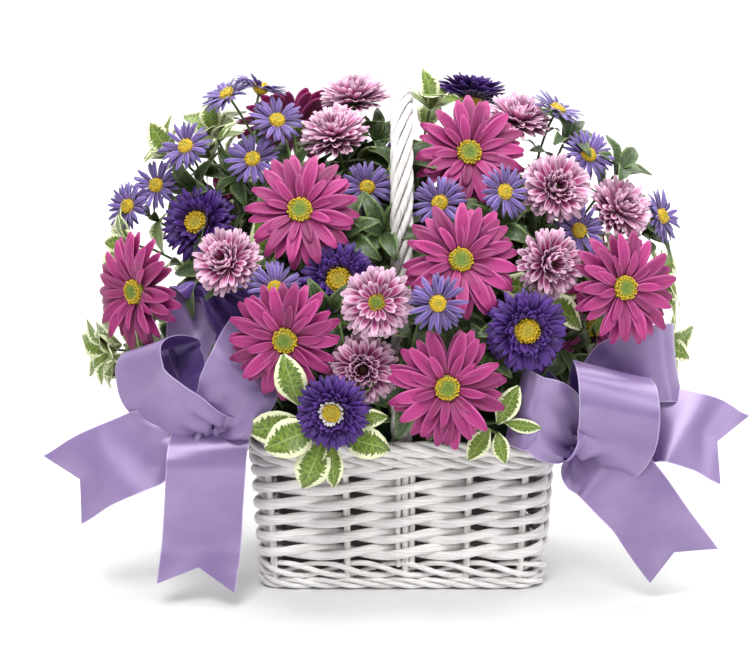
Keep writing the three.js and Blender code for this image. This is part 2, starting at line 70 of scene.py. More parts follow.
# ---- shading -------------------------------------------------------------------------------------
def new_material(name, roughness=0.5, **constants):
    """A material with its Principled shader. constants are sockets that are the same all over."""
    material = bpy.data.materials.new(name)
    material.use_nodes = True
    shader = material.node_tree.nodes["Principled BSDF"]
    shader.inputs["Roughness"].default_value = roughness
    for socket, value in constants.items():
        shader.inputs[socket.replace("_", " ")].default_value = value
    return material, material.node_tree, shader


def node(tree, kind, **settings):
    made = tree.nodes.new(kind)
    for key, value in settings.items():
        if key in made.inputs:
            made.inputs[key].default_value = value
        else:
            setattr(made, key, value)
    return made


def colour_ramp(tree, factor, *stops):
    """Colours along a factor: stops are (position, (r, g, b))."""
    ramp = tree.nodes.new("ShaderNodeValToRGB")
    elements = ramp.color_ramp.elements
    for i, (position, colour) in enumerate(stops):
        stop = elements[i] if i < 2 else elements.new(position)
        stop.position = position
        stop.color = (*colour, 1)
    tree.links.new(factor, ramp.inputs["Fac"])
    return ramp.outputs["Color"]


def mix_colour(tree, factor, a, b, blend="MIX"):
    mix = tree.nodes.new("ShaderNodeMix")
    mix.data_type = "RGBA"
    mix.blend_type = blend
    for value, socket in ((factor, mix.inputs["Factor"]), (a, mix.inputs["A"]), (b, mix.inputs["B"])):
        if isinstance(value, bpy.types.NodeSocket):
            tree.links.new(value, socket)
        elif isinstance(value, tuple):
            socket.default_value = (*value, 1)
        else:
            socket.default_value = value
    return mix.outputs["Result"]


def maths(tree, operation, *values):
    """A Math node on sockets and numbers."""
    made = tree.nodes.new("ShaderNodeMath")
    made.operation = operation
    for value, socket in zip(values, made.inputs):
        if isinstance(value, bpy.types.NodeSocket):
            tree.links.new(value, socket)
        else:
            socket.default_value = value
    return made.outputs["Value"]


def bump(tree, shader, height, strength, distance):
    made = node(tree, "ShaderNodeBump", Strength=strength, Distance=distance)
    tree.links.new(height, made.inputs["Height"])
    tree.links.new(made.outputs["Normal"], shader.inputs["Normal"])


def stretched_noise(tree, coordinates, scale, detail=4.0):
    """Noise on coordinates stretched by a scale for each axis."""
    mapping = node(tree, "ShaderNodeMapping")
    mapping.inputs["Scale"].default_value = scale
    tree.links.new(coordinates, mapping.inputs["Vector"])
    made = node(tree, "ShaderNodeTexNoise", Scale=1.0, Detail=detail)
    tree.links.new(mapping.outputs["Vector"], made.inputs["Vector"])
    return made.outputs["Fac"]


# Each petal's tone, from 0 to 1, also picks its own streaks, out of this many widths of them.
TONE_SPREAD = 40.0


def petal_streaks():
    """A group that reads a petal's own UV and gives streaks along it, its edge and the way along it."""
    group = bpy.data.node_groups.new("petal_streaks", "ShaderNodeTree")
    group.interface.new_socket("Fineness", in_out="INPUT", socket_type="NodeSocketFloat")
    for name in ("Streaks", "Edge", "Along"):
        group.interface.new_socket(name, in_out="OUTPUT", socket_type="NodeSocketFloat")
    inward = group.nodes.new("NodeGroupInput")
    outward = group.nodes.new("NodeGroupOutput")
    uv = node(group, "ShaderNodeUVMap", uv_map="UVMap")
    tone = node(group, "ShaderNodeAttribute", attribute_name="tone")
    parts = group.nodes.new("ShaderNodeSeparateXYZ")
    group.links.new(uv.outputs["UV"], parts.inputs["Vector"])
    across, along = parts.outputs["X"], parts.outputs["Y"]
    joined = group.nodes.new("ShaderNodeCombineXYZ")
    group.links.new(maths(group, "MULTIPLY", across, inward.outputs["Fineness"]), joined.inputs["X"])
    group.links.new(along, joined.inputs["Y"])
    group.links.new(maths(group, "MULTIPLY", tone.outputs["Fac"], TONE_SPREAD), joined.inputs["Z"])
    grain = node(group, "ShaderNodeTexNoise", Scale=1.0, Detail=2.0)
    group.links.new(joined.outputs["Vector"], grain.inputs["Vector"])
    off_middle = maths(group, "ABSOLUTE", maths(group, "SUBTRACT", across, 0.5))
    group.links.new(grain.outputs["Fac"], outward.inputs["Streaks"])
    group.links.new(maths(group, "MULTIPLY", off_middle, 2.0), outward.inputs["Edge"])
    group.links.new(along, outward.inputs["Along"])
    return group


PETAL_STREAKS = petal_streaks()
STREAK_FINENESS = 9.0
HARD_STREAK = 0.4  # how much a streak's sharp part adds to its soft part
DARKEST_PETAL = 0.62
PETAL_VARIETY = 0.6
PETAL_RELIEF = 0.4 * MM


def petal_material(name, along_stops, edge_colour, edge_from, streak_colour, streak_share):
    """Petal colours from base to tip, with paler edges, streaks along it and each petal's own tone."""
    material, tree, shader = new_material(name, 0.5, Sheen_Weight=0.06, Sheen_Roughness=0.4)
    shader.inputs["Specular IOR Level"].default_value = 0.35
    streaks = node(tree, "ShaderNodeGroup", node_tree=PETAL_STREAKS)
    streaks.inputs["Fineness"].default_value = STREAK_FINENESS
    grain = streaks.outputs["Streaks"]
    base = colour_ramp(tree, streaks.outputs["Along"], *along_stops)
    edge = maths(tree, "SUBTRACT", streaks.outputs["Edge"], edge_from)
    edge = maths(tree, "MULTIPLY", edge, 1 / (1 - edge_from))
    edge = maths(tree, "MAXIMUM", edge, 0.0)
    edged = mix_colour(tree, edge, base, edge_colour)
    sharp = maths(tree, "MULTIPLY", maths(tree, "GREATER_THAN", grain, 0.5), streak_share)
    soft = maths(tree, "MULTIPLY", grain, streak_share)
    streaked = maths(tree, "ADD", maths(tree, "MULTIPLY", sharp, HARD_STREAK), soft)
    mixed = mix_colour(tree, streaked, edged, streak_colour)
    tone = node(tree, "ShaderNodeAttribute", attribute_name="tone")
    varied = maths(tree, "MULTIPLY", tone.outputs["Fac"], PETAL_VARIETY)
    level = maths(tree, "ADD", varied, DARKEST_PETAL)
    grey = tree.nodes.new("ShaderNodeCombineColor")
    for socket in ("Red", "Green", "Blue"):
        tree.links.new(level, grey.inputs[socket])
    toned = mix_colour(tree, 1.0, mixed, grey.outputs["Color"], "MULTIPLY")
    tree.links.new(toned, shader.inputs["Base Color"])
    bump(tree, shader, grain, 0.35, PETAL_RELIEF)
    return material


FLORET_SIZE = 1.1 * MM
FLORET_GAP_SHADE = (0.35, 0.35, 0.3)
FLORET_RELIEF = 0.5 * MM


def floret_material(name, middle, rim):
    """The tiny florets of an eye: rounded cells with painted shade between them, from the middle's colour to
    the rim's.
    """
    material, tree, shader = new_material(name, 0.6)
    place = node(tree, "ShaderNodeTexCoord")
    cells = node(tree, "ShaderNodeTexVoronoi", Scale=1 / FLORET_SIZE)
    tree.links.new(place.outputs["Object"], cells.inputs["Vector"])
    out = node(tree, "ShaderNodeAttribute", attribute_name="out")
    colour = colour_ramp(tree, out.outputs["Fac"], (0.25, middle), (0.75, rim))
    # painted shade in the gaps between the florets
    shade = colour_ramp(tree, cells.outputs["Distance"], (0.0, (1, 1, 1)), (0.8, FLORET_GAP_SHADE))
    tree.links.new(mix_colour(tree, 0.75, colour, shade, "MULTIPLY"), shader.inputs["Base Color"])
    height = maths(tree, "SUBTRACT", 1.0, cells.outputs["Distance"])
    bump(tree, shader, height, 1.0, FLORET_RELIEF)
    return material


# The willow's grain is fine across a rod and long along it, by axis.
LEVEL_GRAIN = (40, 40, 900)
UPRIGHT_GRAIN = (700, 700, 35)
WASH_PATCHES = (60, 60, 60)
THIN_WASH = (0.9, 0.89, 0.9)
WILLOW_RELIEF = 0.35 * MM


def willow_material(name, light, dark, grain_scale):
    """White-washed peeled willow: streaks along the rod, thin grey wash in patches, fine grain."""
    material, tree, shader = new_material(name, 0.62)
    place = node(tree, "ShaderNodeTexCoord").outputs["Object"]
    grain = stretched_noise(tree, place, grain_scale, 5.0)
    patches = stretched_noise(tree, place, WASH_PATCHES, 3.0)
    streak = colour_ramp(tree, grain, (0.3, dark), (0.58, light))
    wash = colour_ramp(tree, patches, (0.35, THIN_WASH), (0.6, (1, 1, 1)))
    tree.links.new(mix_colour(tree, 1.0, streak, wash, "MULTIPLY"), shader.inputs["Base Color"])
    rough = maths(tree, "ADD", maths(tree, "MULTIPLY", grain, 0.3), 0.45)
    tree.links.new(rough, shader.inputs["Roughness"])
    bump(tree, shader, grain, 0.5, WILLOW_RELIEF)
    return material


SATIN_DRIFT = (1.2, 1.6, 1)
SATIN_THREADS = (240, 18, 1)
EDGE_HIGHLIGHT_FROM = 0.487  # as a share of the width, from the middle out
THREAD_RELIEF = 0.1 * MM


def satin_material(name, deep, light, edge, shine):
    """Lilac satin: its threads run along it, so its sheen stretches across, its tone drifts, and a paler band
    along each edge is a painted highlight.
    """
    material, tree, shader = new_material(name, 0.4, Metallic=0.12, Anisotropic=0.8, IOR=shine)
    shader.inputs["Specular Tint"].default_value = (1.0, 0.94, 0.99, 1)
    shader.inputs["Subsurface Weight"].default_value = 0.35
    shader.inputs["Subsurface Radius"].default_value = (0.9, 0.5, 1.0)
    shader.inputs["Subsurface Scale"].default_value = 1.2 * MM
    across = node(tree, "ShaderNodeTangent", direction_type="UV_MAP", uv_map="UVMap")
    tree.links.new(across.outputs["Tangent"], shader.inputs["Tangent"])
    uv = node(tree, "ShaderNodeUVMap", uv_map="UVMap").outputs["UV"]
    drift = stretched_noise(tree, uv, SATIN_DRIFT, 2.0)
    colour = colour_ramp(tree, drift, (0.3, deep), (0.7, light))
    parts = tree.nodes.new("ShaderNodeSeparateXYZ")
    tree.links.new(uv, parts.inputs["Vector"])
    off_middle = maths(tree, "ABSOLUTE", maths(tree, "SUBTRACT", parts.outputs["X"], 0.5))
    # a paler band along each edge: painted highlight
    edge_highlight = maths(tree, "GREATER_THAN", off_middle, EDGE_HIGHLIGHT_FROM)
    tree.links.new(mix_colour(tree, edge_highlight, colour, edge), shader.inputs["Base Color"])
    threads = stretched_noise(tree, uv, SATIN_THREADS, 2.0)
    rough = maths(tree, "ADD", maths(tree, "MULTIPLY", threads, 0.12), 0.33)
    tree.links.new(rough, shader.inputs["Roughness"])
    bump(tree, shader, threads, 0.08, THREAD_RELIEF)
    return material


LEAF_RAGGED = (6, 19, 1)
MARGIN_TIP = 0.35  # how much wider the margin gets towards the tip
MARGIN_RAGGED = 1.1
SIDE_VEINS = 9.0
VEIN_SLANT = -2.2
VEIN_HALF = 0.045
MIDRIB_HALF = 0.05
VEIN_SHARE = 0.45
LEAF_RELIEF = 0.6 * MM


def leaf_material(name, green, dark, cream, vein_colour):
    """Variegated leaf: green heart with a ragged cream margin, pale midrib and side veins."""
    material, tree, shader = new_material(name, 0.42, Sheen_Weight=0.1)
    uv = node(tree, "ShaderNodeUVMap", uv_map="UVMap").outputs["UV"]
    parts = tree.nodes.new("ShaderNodeSeparateXYZ")
    tree.links.new(uv, parts.inputs["Vector"])
    across, along = parts.outputs["X"], parts.outputs["Y"]
    off_middle = maths(tree, "ABSOLUTE", maths(tree, "SUBTRACT", across, 0.5))
    off_middle = maths(tree, "MULTIPLY", off_middle, 2.0)
    ragged = stretched_noise(tree, uv, LEAF_RAGGED, 5.0)
    at_tip = maths(tree, "MULTIPLY", maths(tree, "POWER", along, 6.0), MARGIN_TIP)
    tooth = maths(tree, "MULTIPLY", ragged, MARGIN_RAGGED)
    reach = maths(tree, "ADD", maths(tree, "ADD", off_middle, at_tip), tooth)
    half_reach = maths(tree, "MULTIPLY", reach, 0.5)
    margin = colour_ramp(tree, half_reach, (0.62, (0, 0, 0)), (0.66, (1, 1, 1)))
    heart = colour_ramp(tree, ragged, (0.35, dark), (0.65, green))
    slant = maths(tree, "MULTIPLY", off_middle, VEIN_SLANT)
    veins = maths(tree, "ADD", maths(tree, "MULTIPLY", along, SIDE_VEINS), slant)
    wave = maths(tree, "ABSOLUTE", maths(tree, "SUBTRACT", maths(tree, "FRACT", veins), 0.5))
    side_vein = maths(tree, "LESS_THAN", wave, VEIN_HALF)
    midrib = maths(tree, "LESS_THAN", off_middle, MIDRIB_HALF)
    vein = maths(tree, "MULTIPLY", maths(tree, "MAXIMUM", side_vein, midrib), VEIN_SHARE)
    veined = mix_colour(tree, vein, heart, vein_colour)
    tree.links.new(mix_colour(tree, margin, veined, cream), shader.inputs["Base Color"])
    bump(tree, shader, maths(tree, "SUBTRACT", ragged, vein), 0.5, LEAF_RELIEF)
    return material


def mottled_material(name, roughness, scale, detail, dark, light, relief):
    """A finish mottled between two colours. dark and light each have a place in the mottle."""
    material, tree, shader = new_material(name, roughness)
    place = node(tree, "ShaderNodeTexCoord").outputs["Object"]
    mottle = stretched_noise(tree, place, scale, detail)
    tree.links.new(colour_ramp(tree, mottle, dark, light), shader.inputs["Base Color"])
    strength, distance = relief
    bump(tree, shader, mottle, strength, distance)
    return material


STEM_MOTTLE = (300, 300, 60)
FOAM_PORES = (900, 900, 900)
LINER_CRINKLE = (60, 60, 25)


def stem_material(name, light, dark, roughness=0.5):
    """Stem and calyx green, twine or wood, with a slight mottle."""
    stops = (0.35, dark), (0.65, light)
    return mottled_material(name, roughness, STEM_MOTTLE, 3.0, *stops, (0.3, 0.3 * MM))


def foam_material():
    """Wet floral foam: a dark green with fine pores."""
    stops = (0.3, (0.01, 0.03, 0.012)), (0.7, (0.03, 0.075, 0.03))
    return mottled_material("wet_foam", 0.9, FOAM_PORES, 3.0, *stops, (0.6, 0.4 * MM))


def liner_material():
    """Thin crinkled plastic."""
    stops = (0.3, (0.10, 0.09, 0.08)), (0.7, (0.22, 0.20, 0.18))
    return mottled_material("liner_plastic", 0.35, LINER_CRINKLE, 4.0, *stops, (0.5, 1.0 * MM))


MAGENTA_PETAL = petal_material(
    "magenta_petal",
    [
        (0.0, (0.15, 0.008, 0.05)),
        (0.18, (0.13, 0.002, 0.045)),
        (0.6, (0.20, 0.004, 0.08)),
        (1.0, (0.30, 0.016, 0.13)),
    ],
    edge_colour=(0.52, 0.10, 0.30),
    edge_from=0.6,
    streak_colour=(0.42, 0.045, 0.21),
    streak_share=0.5,
)
PURPLE_PETAL = petal_material(
    "purple_petal",
    [
        (0.0, (0.010, 0.001, 0.035)),
        (0.55, (0.024, 0.004, 0.09)),
        (1.0, (0.085, 0.026, 0.22)),
    ],
    edge_colour=(0.11, 0.04, 0.26),
    edge_from=0.6,
    streak_colour=(0.05, 0.012, 0.17),
    streak_share=0.3,
)
PINK_PETAL = petal_material(
    "pink_petal",
    [
        (0.0, (0.14, 0.003, 0.045)),
        (0.30, (0.30, 0.018, 0.12)),
        (0.62, (0.48, 0.09, 0.27)),
        (0.88, (0.85, 0.62, 0.76)),
    ],
    edge_colour=(0.86, 0.62, 0.77),
    edge_from=0.55,
    streak_colour=(0.40, 0.05, 0.21),
    streak_share=0.4,
)
LAVENDER_PETAL = petal_material(
    "lavender_petal",
    [
        (0.0, (0.36, 0.30, 0.50)),
        (0.25, (0.12, 0.065, 0.27)),
        (1.0, (0.20, 0.125, 0.40)),
    ],
    edge_colour=(0.36, 0.29, 0.56),
    edge_from=0.4,
    streak_colour=(0.06, 0.025, 0.18),
    streak_share=0.45,
)
GREEN_EYE = floret_material("green_eye", (0.16, 0.26, 0.02), (0.42, 0.42, 0.03))
YELLOW_EYE = floret_material("yellow_eye", (0.50, 0.40, 0.02), (0.90, 0.60, 0.02))
DARK_EYE = floret_material("dark_eye", (0.10, 0.12, 0.02), (0.20, 0.015, 0.05))
POLLEN = floret_material("pollen", (0.95, 0.66, 0.03), (0.95, 0.66, 0.03))
WHITE_FLORET = floret_material("white_floret", (0.85, 0.82, 0.86), (0.85, 0.82, 0.86))
STEM_GREEN = stem_material("stem_green", (0.09, 0.15, 0.03), (0.04, 0.08, 0.015))
LEAF = leaf_material(
    "variegated_leaf",
    green=(0.20, 0.29, 0.018),
    dark=(0.05, 0.10, 0.010),
    cream=(0.80, 0.82, 0.52),
    vein_colour=(0.40, 0.50, 0.18),
)
DARK_LEAF = leaf_material(
    "dark_leaf",
    green=(0.045, 0.085, 0.014),
    dark=(0.012, 0.032, 0.006),
    cream=(0.10, 0.16, 0.04),
    vein_colour=(0.12, 0.18, 0.06),
)
WILLOW_ROUND = willow_material(
    "willow_round",
    light=(0.95, 0.93, 0.92),
    dark=(0.68, 0.64, 0.62),
    grain_scale=LEVEL_GRAIN,
)
# The upright rods' willow is darker than the level rods': painted shade on the handle, stakes and bottom
# sticks.
SHADED_WILLOW_UPRIGHT = willow_material(
    "willow_upright_shaded",
    light=(0.88, 0.86, 0.84),
    dark=(0.54, 0.50, 0.48),
    grain_scale=UPRIGHT_GRAIN,
)
# edge is the paler band along each edge of the ribbon, a painted highlight.
SATIN = satin_material(
    "lilac_satin",
    deep=(0.20, 0.13, 0.31),
    light=(0.29, 0.21, 0.40),
    edge=(0.40, 0.32, 0.52),
    shine=1.85,
)
# The ribbon's back: duller than its face, and made much deeper, which is painted shade on the insides of the
# loops.
SATIN_BACK_SHADE = satin_material(
    "lilac_satin_back_shade",
    deep=(0.085, 0.04, 0.20),
    light=(0.13, 0.065, 0.28),
    edge=(0.20, 0.12, 0.34),
    shine=1.45,
)
BINDING = stem_material("binding_wire", (0.30, 0.20, 0.42), (0.22, 0.14, 0.34), 0.45)
PICK_WOOD = stem_material("pick_wood", (0.32, 0.22, 0.12), (0.2, 0.13, 0.07), 0.7)
FOAM = foam_material()
LINER = liner_material()


# ---- modelling helpers ---------------------------------------------------------------------------
def deselect_all():
    for item in bpy.context.selected_objects:
        item.select_set(False)


def activate(piece):
    deselect_all()
    piece.select_set(True)
    bpy.context.view_layer.objects.active = piece


def select_vertices(piece, wanted):
    """In edit mode: selects the vertices whose place wanted() accepts."""
    mesh = bmesh.from_edit_mesh(piece.data)
    bpy.ops.mesh.select_all(action="DESELECT")
    for vertex in mesh.verts:
        vertex.select = wanted(vertex.co)
    mesh.select_flush(True)
    bmesh.update_edit_mesh(piece.data)


def link(name, mesh):
    piece = bpy.data.objects.new(name, mesh)
    bpy.context.collection.objects.link(piece)
    return piece


def copy_mesh(source, matrix, tone=None):
    """A copy of a modelled piece, with its own mesh, put in place."""
    mesh = source.data.copy()
    mesh.transform(matrix)
    if matrix.determinant() < 0:
        mesh.flip_normals()
    if tone is not None:
        tones = mesh.attributes.get("tone") or mesh.attributes.new("tone", "FLOAT", "POINT")
        tones.data.foreach_set("value", [tone] * len(mesh.vertices))
    return link(source.name + "_copy", mesh)


def join(name, parts):
    """Joins the parts into one piece of this name."""
    deselect_all()
    for part in parts:
        part.select_set(True)
    bpy.context.view_layer.objects.active = parts[0]
    if len(parts) > 1:
        bpy.ops.object.join()
    whole = bpy.context.view_layer.objects.active
    whole.name = name
    whole.data.name = name
    return whole


def remove(pieces):
    for piece in pieces:
        bpy.data.objects.remove(piece, do_unlink=True)


def finish_piece(piece, slot, *nodes):
    """Puts a piece on the one body in place of these CAD nodes. Its slot is not used."""
    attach(piece, "root")
    if nodes:
        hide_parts(*nodes)


def apply_modifier(piece, kind, **settings):
    activate(piece)
    modifier = piece.modifiers.new(kind.lower(), kind)
    for key, value in settings.items():
        setattr(modifier, key, value)
    bpy.ops.object.modifier_apply(modifier=modifier.name)


ROW_REACH = 0.01  # a row of the unit grid is found by its place, this near


def petal(name, length, width, outline, rise, cup, thick, material, columns, tip=0.0):
    """A petal or leaf along +Y: a grid whose rows are narrowed to the outline and lifted to the rise.

    cup raises its sides, and tip draws its end's corners back.
    """
    rows = len(outline) - 1
    bpy.ops.mesh.primitive_grid_add(x_subdivisions=columns, y_subdivisions=rows, size=1)
    piece = bpy.context.active_object
    piece.name = name
    activate(piece)
    bpy.ops.object.mode_set(mode="EDIT")
    for row, (share, lift) in enumerate(zip(outline, rise)):
        place = row / rows - 0.5
        select_vertices(piece, lambda co, place=place: abs(co.y - place) < ROW_REACH)
        bpy.ops.transform.resize(value=(share * width, 1, 1), center_override=(0, 0, 0))
        bpy.ops.transform.translate(value=(0, 0, lift))
    bpy.ops.mesh.select_all(action="SELECT")
    bpy.ops.transform.translate(value=(0, 0.5, 0))
    bpy.ops.transform.resize(value=(1, length, 1), center_override=(0, 0, 0))
    bpy.ops.object.mode_set(mode="OBJECT")
    half = width / 2
    for vertex in piece.data.vertices:
        side = vertex.co.x / half
        vertex.co.z += cup * side * side
        vertex.co.y -= tip * side * side * (vertex.co.y / length) ** 4
    apply_modifier(piece, "SOLIDIFY", thickness=thick, offset=0)
    bpy.ops.object.shade_smooth()
    piece.data.materials.append(material)
    return piece


EYE_HOLLOW = 0.45  # the sunken middle of an eye, as a share of its radius


def eye_dome(name, radius, height, sink, material):
    """The floret disc of a bloom: a flattened dome with a sunken middle, its edge under the petals."""
    bpy.ops.mesh.primitive_uv_sphere_add(segments=24, ring_count=10, radius=radius)
    piece = bpy.context.active_object
    piece.name = name
    activate(piece)
    bpy.ops.object.mode_set(mode="EDIT")
    bpy.ops.mesh.select_all(action="SELECT")
    bpy.ops.transform.resize(value=(1, 1, height / radius), center_override=(0, 0, 0))
    select_vertices(piece, lambda co: math.hypot(co.x, co.y) < radius * EYE_HOLLOW and co.z > 0)
    bpy.ops.transform.translate(value=(0, 0, -sink), use_proportional_edit=False)
    bpy.ops.object.mode_set(mode="OBJECT")
    bpy.ops.object.shade_smooth()
    shares = [min(1, math.hypot(v.co.x, v.co.y) / radius) for v in piece.data.vertices]
    out = piece.data.attributes.new("out", "FLOAT", "POINT")
    out.data.foreach_set("value", shares)
    piece.data.materials.append(material)
    return piece


CALYX_NECK = 0.28  # as a share of its rim's radius
CALYX_ROUND = 0.3  # its rim's bevel, as a share of its depth


def calyx(name, radius, depth):
    """The green cup behind a bloom."""
    neck = radius * CALYX_NECK
    bpy.ops.mesh.primitive_cone_add(vertices=14, radius1=neck, radius2=radius, depth=depth)
    piece = bpy.context.active_object
    piece.name = name
    activate(piece)
    bpy.ops.object.mode_set(mode="EDIT")
    select_vertices(piece, lambda co: co.z > 0)
    bpy.ops.mesh.bevel(offset=depth * CALYX_ROUND, segments=2)
    bpy.ops.object.mode_set(mode="OBJECT")
    bpy.ops.object.shade_smooth()
    piece.data.transform(Matrix.Translation((0, 0, -depth / 2)))
    piece.data.materials.append(STEM_GREEN)
    return piece


def rod(name, points, radii, material, flat=1.0, sides=8, closed=False):
    """A rod through points, as thick as each radius. flat squeezes it across, keeping its height."""
    curve = bpy.data.curves.new(name, "CURVE")
    curve.dimensions = "3D"
    curve.twist_mode = "Z_UP" if flat != 1.0 else "MINIMUM"
    spline = curve.splines.new("POLY")
    spline.points.add(len(points) - 1)
    for place, point, radius in zip(spline.points, points, radii):
        place.co = (*point, 1)
        place.radius = radius
    spline.use_cyclic_u = closed
    profile = bpy.data.curves.new(name + "_profile", "CURVE")
    section = profile.splines.new("POLY")
    section.points.add(sides - 1)
    for i, place in enumerate(section.points):
        turn = 2 * math.pi * i / sides
        place.co = (flat * math.cos(turn), math.sin(turn), 0, 1)
    section.use_cyclic_u = True
    outline = link(name + "_profile", profile)
    curve.bevel_mode = "OBJECT"
    curve.bevel_object = outline
    curve.use_fill_caps = not closed
    piece = link(name, curve)
    activate(piece)
    bpy.ops.object.convert(target="MESH")
    piece = bpy.context.active_object
    bpy.data.objects.remove(outline, do_unlink=True)
    piece.data.materials.clear()
    piece.data.materials.append(material)
    bpy.ops.object.shade_smooth()
    return piece


# ---- where the frame puts things -----------------------------------------------------------------
def node_corners(name):
    """Each corner of a CAD node, with the (normal, other corners) of every face that meets there."""
    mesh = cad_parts[name].data
    meeting = {}
    for face in mesh.polygons:
        corners = [mesh.vertices[index].co.copy() for index in face.vertices]
        for corner in corners:
            others = [other for other in corners if other is not corner]
            place = tuple(round(c, 5) for c in corner)
            meeting.setdefault(place, []).append((face.normal.copy(), others))
    return meeting


EYE_FACES = 8  # the fewest faces that meet at the top of an eye
EVEN_REACH = 0.2 * MM
EYE_REACH = 0.3 * MM


def blooms_of(name, eye_radius, eye_height):
    """(middle, facing) of each bloom of a CAD node, from the top of its eye, where faces meet evenly."""
    found = []
    for place, faces in node_corners(name).items():
        top = Vector(place)
        reach = [(other - top).length for _, others in faces for other in others]
        uneven = max(reach) - min(reach) > EVEN_REACH
        if len(faces) < EYE_FACES or uneven or abs(max(reach) - eye_radius) > EYE_REACH:
            continue
        facing = sum((normal for normal, _ in faces), Vector()).normalized()
        found.append((top - facing * eye_height, facing))
    return found


STEM_END = 1.5 * MM


def root_of(name):
    """Where a CAD node's stem stands in the foam."""
    places = [Vector(place) for place in node_corners(name)]
    lowest = min(place.z for place in places)
    low = [place for place in places if place.z < lowest + STEM_END]
    return sum(low, Vector()) / len(low)


# Each kind's eye in the CAD, in mm: (length from its top to its first ring, height over the bloom's middle).
EYES = {
    "magenta": (9.39, 7),
    "purple": (8.25, 10),
    "pink": (12.04, 11),
    "lavender": (5.05, 4.5),
    "leaf": (6.32, 4),
}


# ---- flower heads, each facing +Z with its middle at the origin ----------------------------------
def ring_of(petals, count, reach, height, tilt, tilt_play=5.0, turn_play=4.0, roll_play=9.0):
    """Copies of the petals set round +Z. reach and height place their bases, and tilt raises their tips.

    The plays are how far each petal strays, in degrees.
    """
    placed = []
    for i in range(count):
        turn = 2 * math.pi * (i + 0.5 * rng.random()) / count
        turn += math.radians(rng.uniform(-turn_play, turn_play))
        lean = math.radians(tilt + rng.uniform(-tilt_play, tilt_play))
        roll = math.radians(rng.uniform(-roll_play, roll_play))
        place = (
            Matrix.Rotation(turn, 4, "Z")
            @ Matrix.Translation((0, reach * MM, height * MM))
            @ Matrix.Rotation(lean, 4, "X")
            @ Matrix.Rotation(roll, 4, "Y")
            @ Matrix.Scale(rng.uniform(0.92, 1.05), 4)
        )
        placed.append(copy_mesh(rng.choice(petals), place, rng.random()))
    return placed


BEAD_SHAPE = Matrix.Diagonal((1, 1, 1.6, 1))


def beads(count, reach, height, size):
    """Tiny open florets with pollen on them, in a ring round an eye."""
    bpy.ops.mesh.primitive_ico_sphere_add(subdivisions=1, radius=size * MM)
    bead = bpy.context.active_object
    bead.data.materials.append(POLLEN)
    bpy.ops.object.shade_smooth()
    placed = []
    for i in range(count):
        turn = 2 * math.pi * i / count + rng.uniform(-0.08, 0.08)
        out = (reach + rng.uniform(-0.7, 0.7)) * MM
        up = (height + rng.uniform(-0.4, 0.4)) * MM
        place = Vector((out * math.cos(turn), out * math.sin(turn), up))
        placed.append(copy_mesh(bead, Matrix.Translation(place) @ BEAD_SHAPE, rng.random()))
    remove([bead])
    return placed


# An outline is a petal's width at each of its rows, as a share of its full width, from base to tip.
PETAL_THICK = 0.35 * MM
DAISY_OUTLINE = (0.34, 0.62, 0.84, 0.97, 1.0, 0.94, 0.74, 0.26)
DAISY_CUP = 1.5 * MM
DAISY_TIP = 1.2 * MM


def in_mm(numbers):
    return [number * MM for number in numbers]


def daisy_petal(length, width, droop):
    """A broad, rounded petal whose end droops."""
    end = (1.4 - 0.3 * droop, 0.6 - 0.6 * droop, -0.4 - droop)
    rise = in_mm((0, 0.9, 1.5, 1.8, 1.8, *end))
    shape = (DAISY_OUTLINE, rise, DAISY_CUP, PETAL_THICK, MAGENTA_PETAL)
    return petal("daisy_petal", length * MM, width * MM, *shape, columns=4, tip=DAISY_TIP)


def daisy_head(name, petals):
    """Three rings of petals round a green eye with pollen at its rim."""
    parts = [calyx(name, 9 * MM, 7 * MM)]
    parts += ring_of(petals, 20, 7.2, -1.8, 4, 6)
    parts += ring_of(petals, 14, 6.4, 0.0, 12, 7)
    small = [copy_mesh(petals[0], Matrix.Scale(0.62, 4))]
    parts += ring_of(small, 9, 6.2, 1.4, 20, 8)
    remove(small)
    parts.append(eye_dome(name + "_eye", 8.8 * MM, 6.4 * MM, 1.6 * MM, GREEN_EYE))
    parts += beads(30, 7.4, 4.0, 0.85)
    parts += beads(22, 5.9, 5.2, 0.6)
    return join(name, parts)


MATSUMOTO_OUTLINE = (0.45, 0.75, 1.0, 0.92, 0.30)


def matsumoto_petal(length, width, rise, cup):
    shape = (MATSUMOTO_OUTLINE, in_mm(rise), cup * MM, PETAL_THICK, PURPLE_PETAL)
    return petal("aster_petal", length * MM, width * MM, *shape, columns=2)


def matsumoto_head(name, ringed=False):
    """A dense aster: narrow petals in five rings, and a white ring inside them if ringed."""
    outer = [
        matsumoto_petal(18.6, 4.4, (0, 0.8, 1.0, 0.6, -0.8), 0.9),
        matsumoto_petal(17.4, 4.4, (0, 0.8, 1.0, 0.6, 0.8), 0.9),
    ]
    inner = [matsumoto_petal(length, 4.0, (0, 0.5, 0.8, 1.0, 1.4), 0.8) for length in (12, 10)]
    parts = [calyx(name, 9 * MM, 8 * MM)]
    for count, reach, height, tilt in ((38, 8.4, -2.4, 5), (36, 8.2, -0.4, 15), (32, 8.0, 1.4, 27)):
        parts += ring_of(outer, count, reach, height, tilt, 6, 4, 14)
    for count, reach, height, tilt in ((30, 7.8, 3.0, 40), (26, 7.6, 4.2, 56)):
        parts += ring_of(inner, count, reach, height, tilt, 8, 5, 16)
    if ringed:
        small = [copy_mesh(inner[0], Matrix.Scale(0.7, 4))]
        small[0].data.materials.clear()
        small[0].data.materials.append(WHITE_FLORET)
        parts += ring_of(small, 20, 5.4, 5.2, 62, 8)
        remove(small)
    remove(outer + inner)
    parts.append(eye_dome(name + "_eye", 9.4 * MM, 10.2 * MM, 1.8 * MM, YELLOW_EYE))
    parts += beads(34, 7.4, 6.8, 0.9)
    parts += beads(26, 5.6, 8.4, 0.85)
    return join(name, parts)


SPOON_OUTLINE = (0.34, 0.55, 0.85, 1.0, 0.9, 0.45)
SPOON_CUP = 1.5 * MM


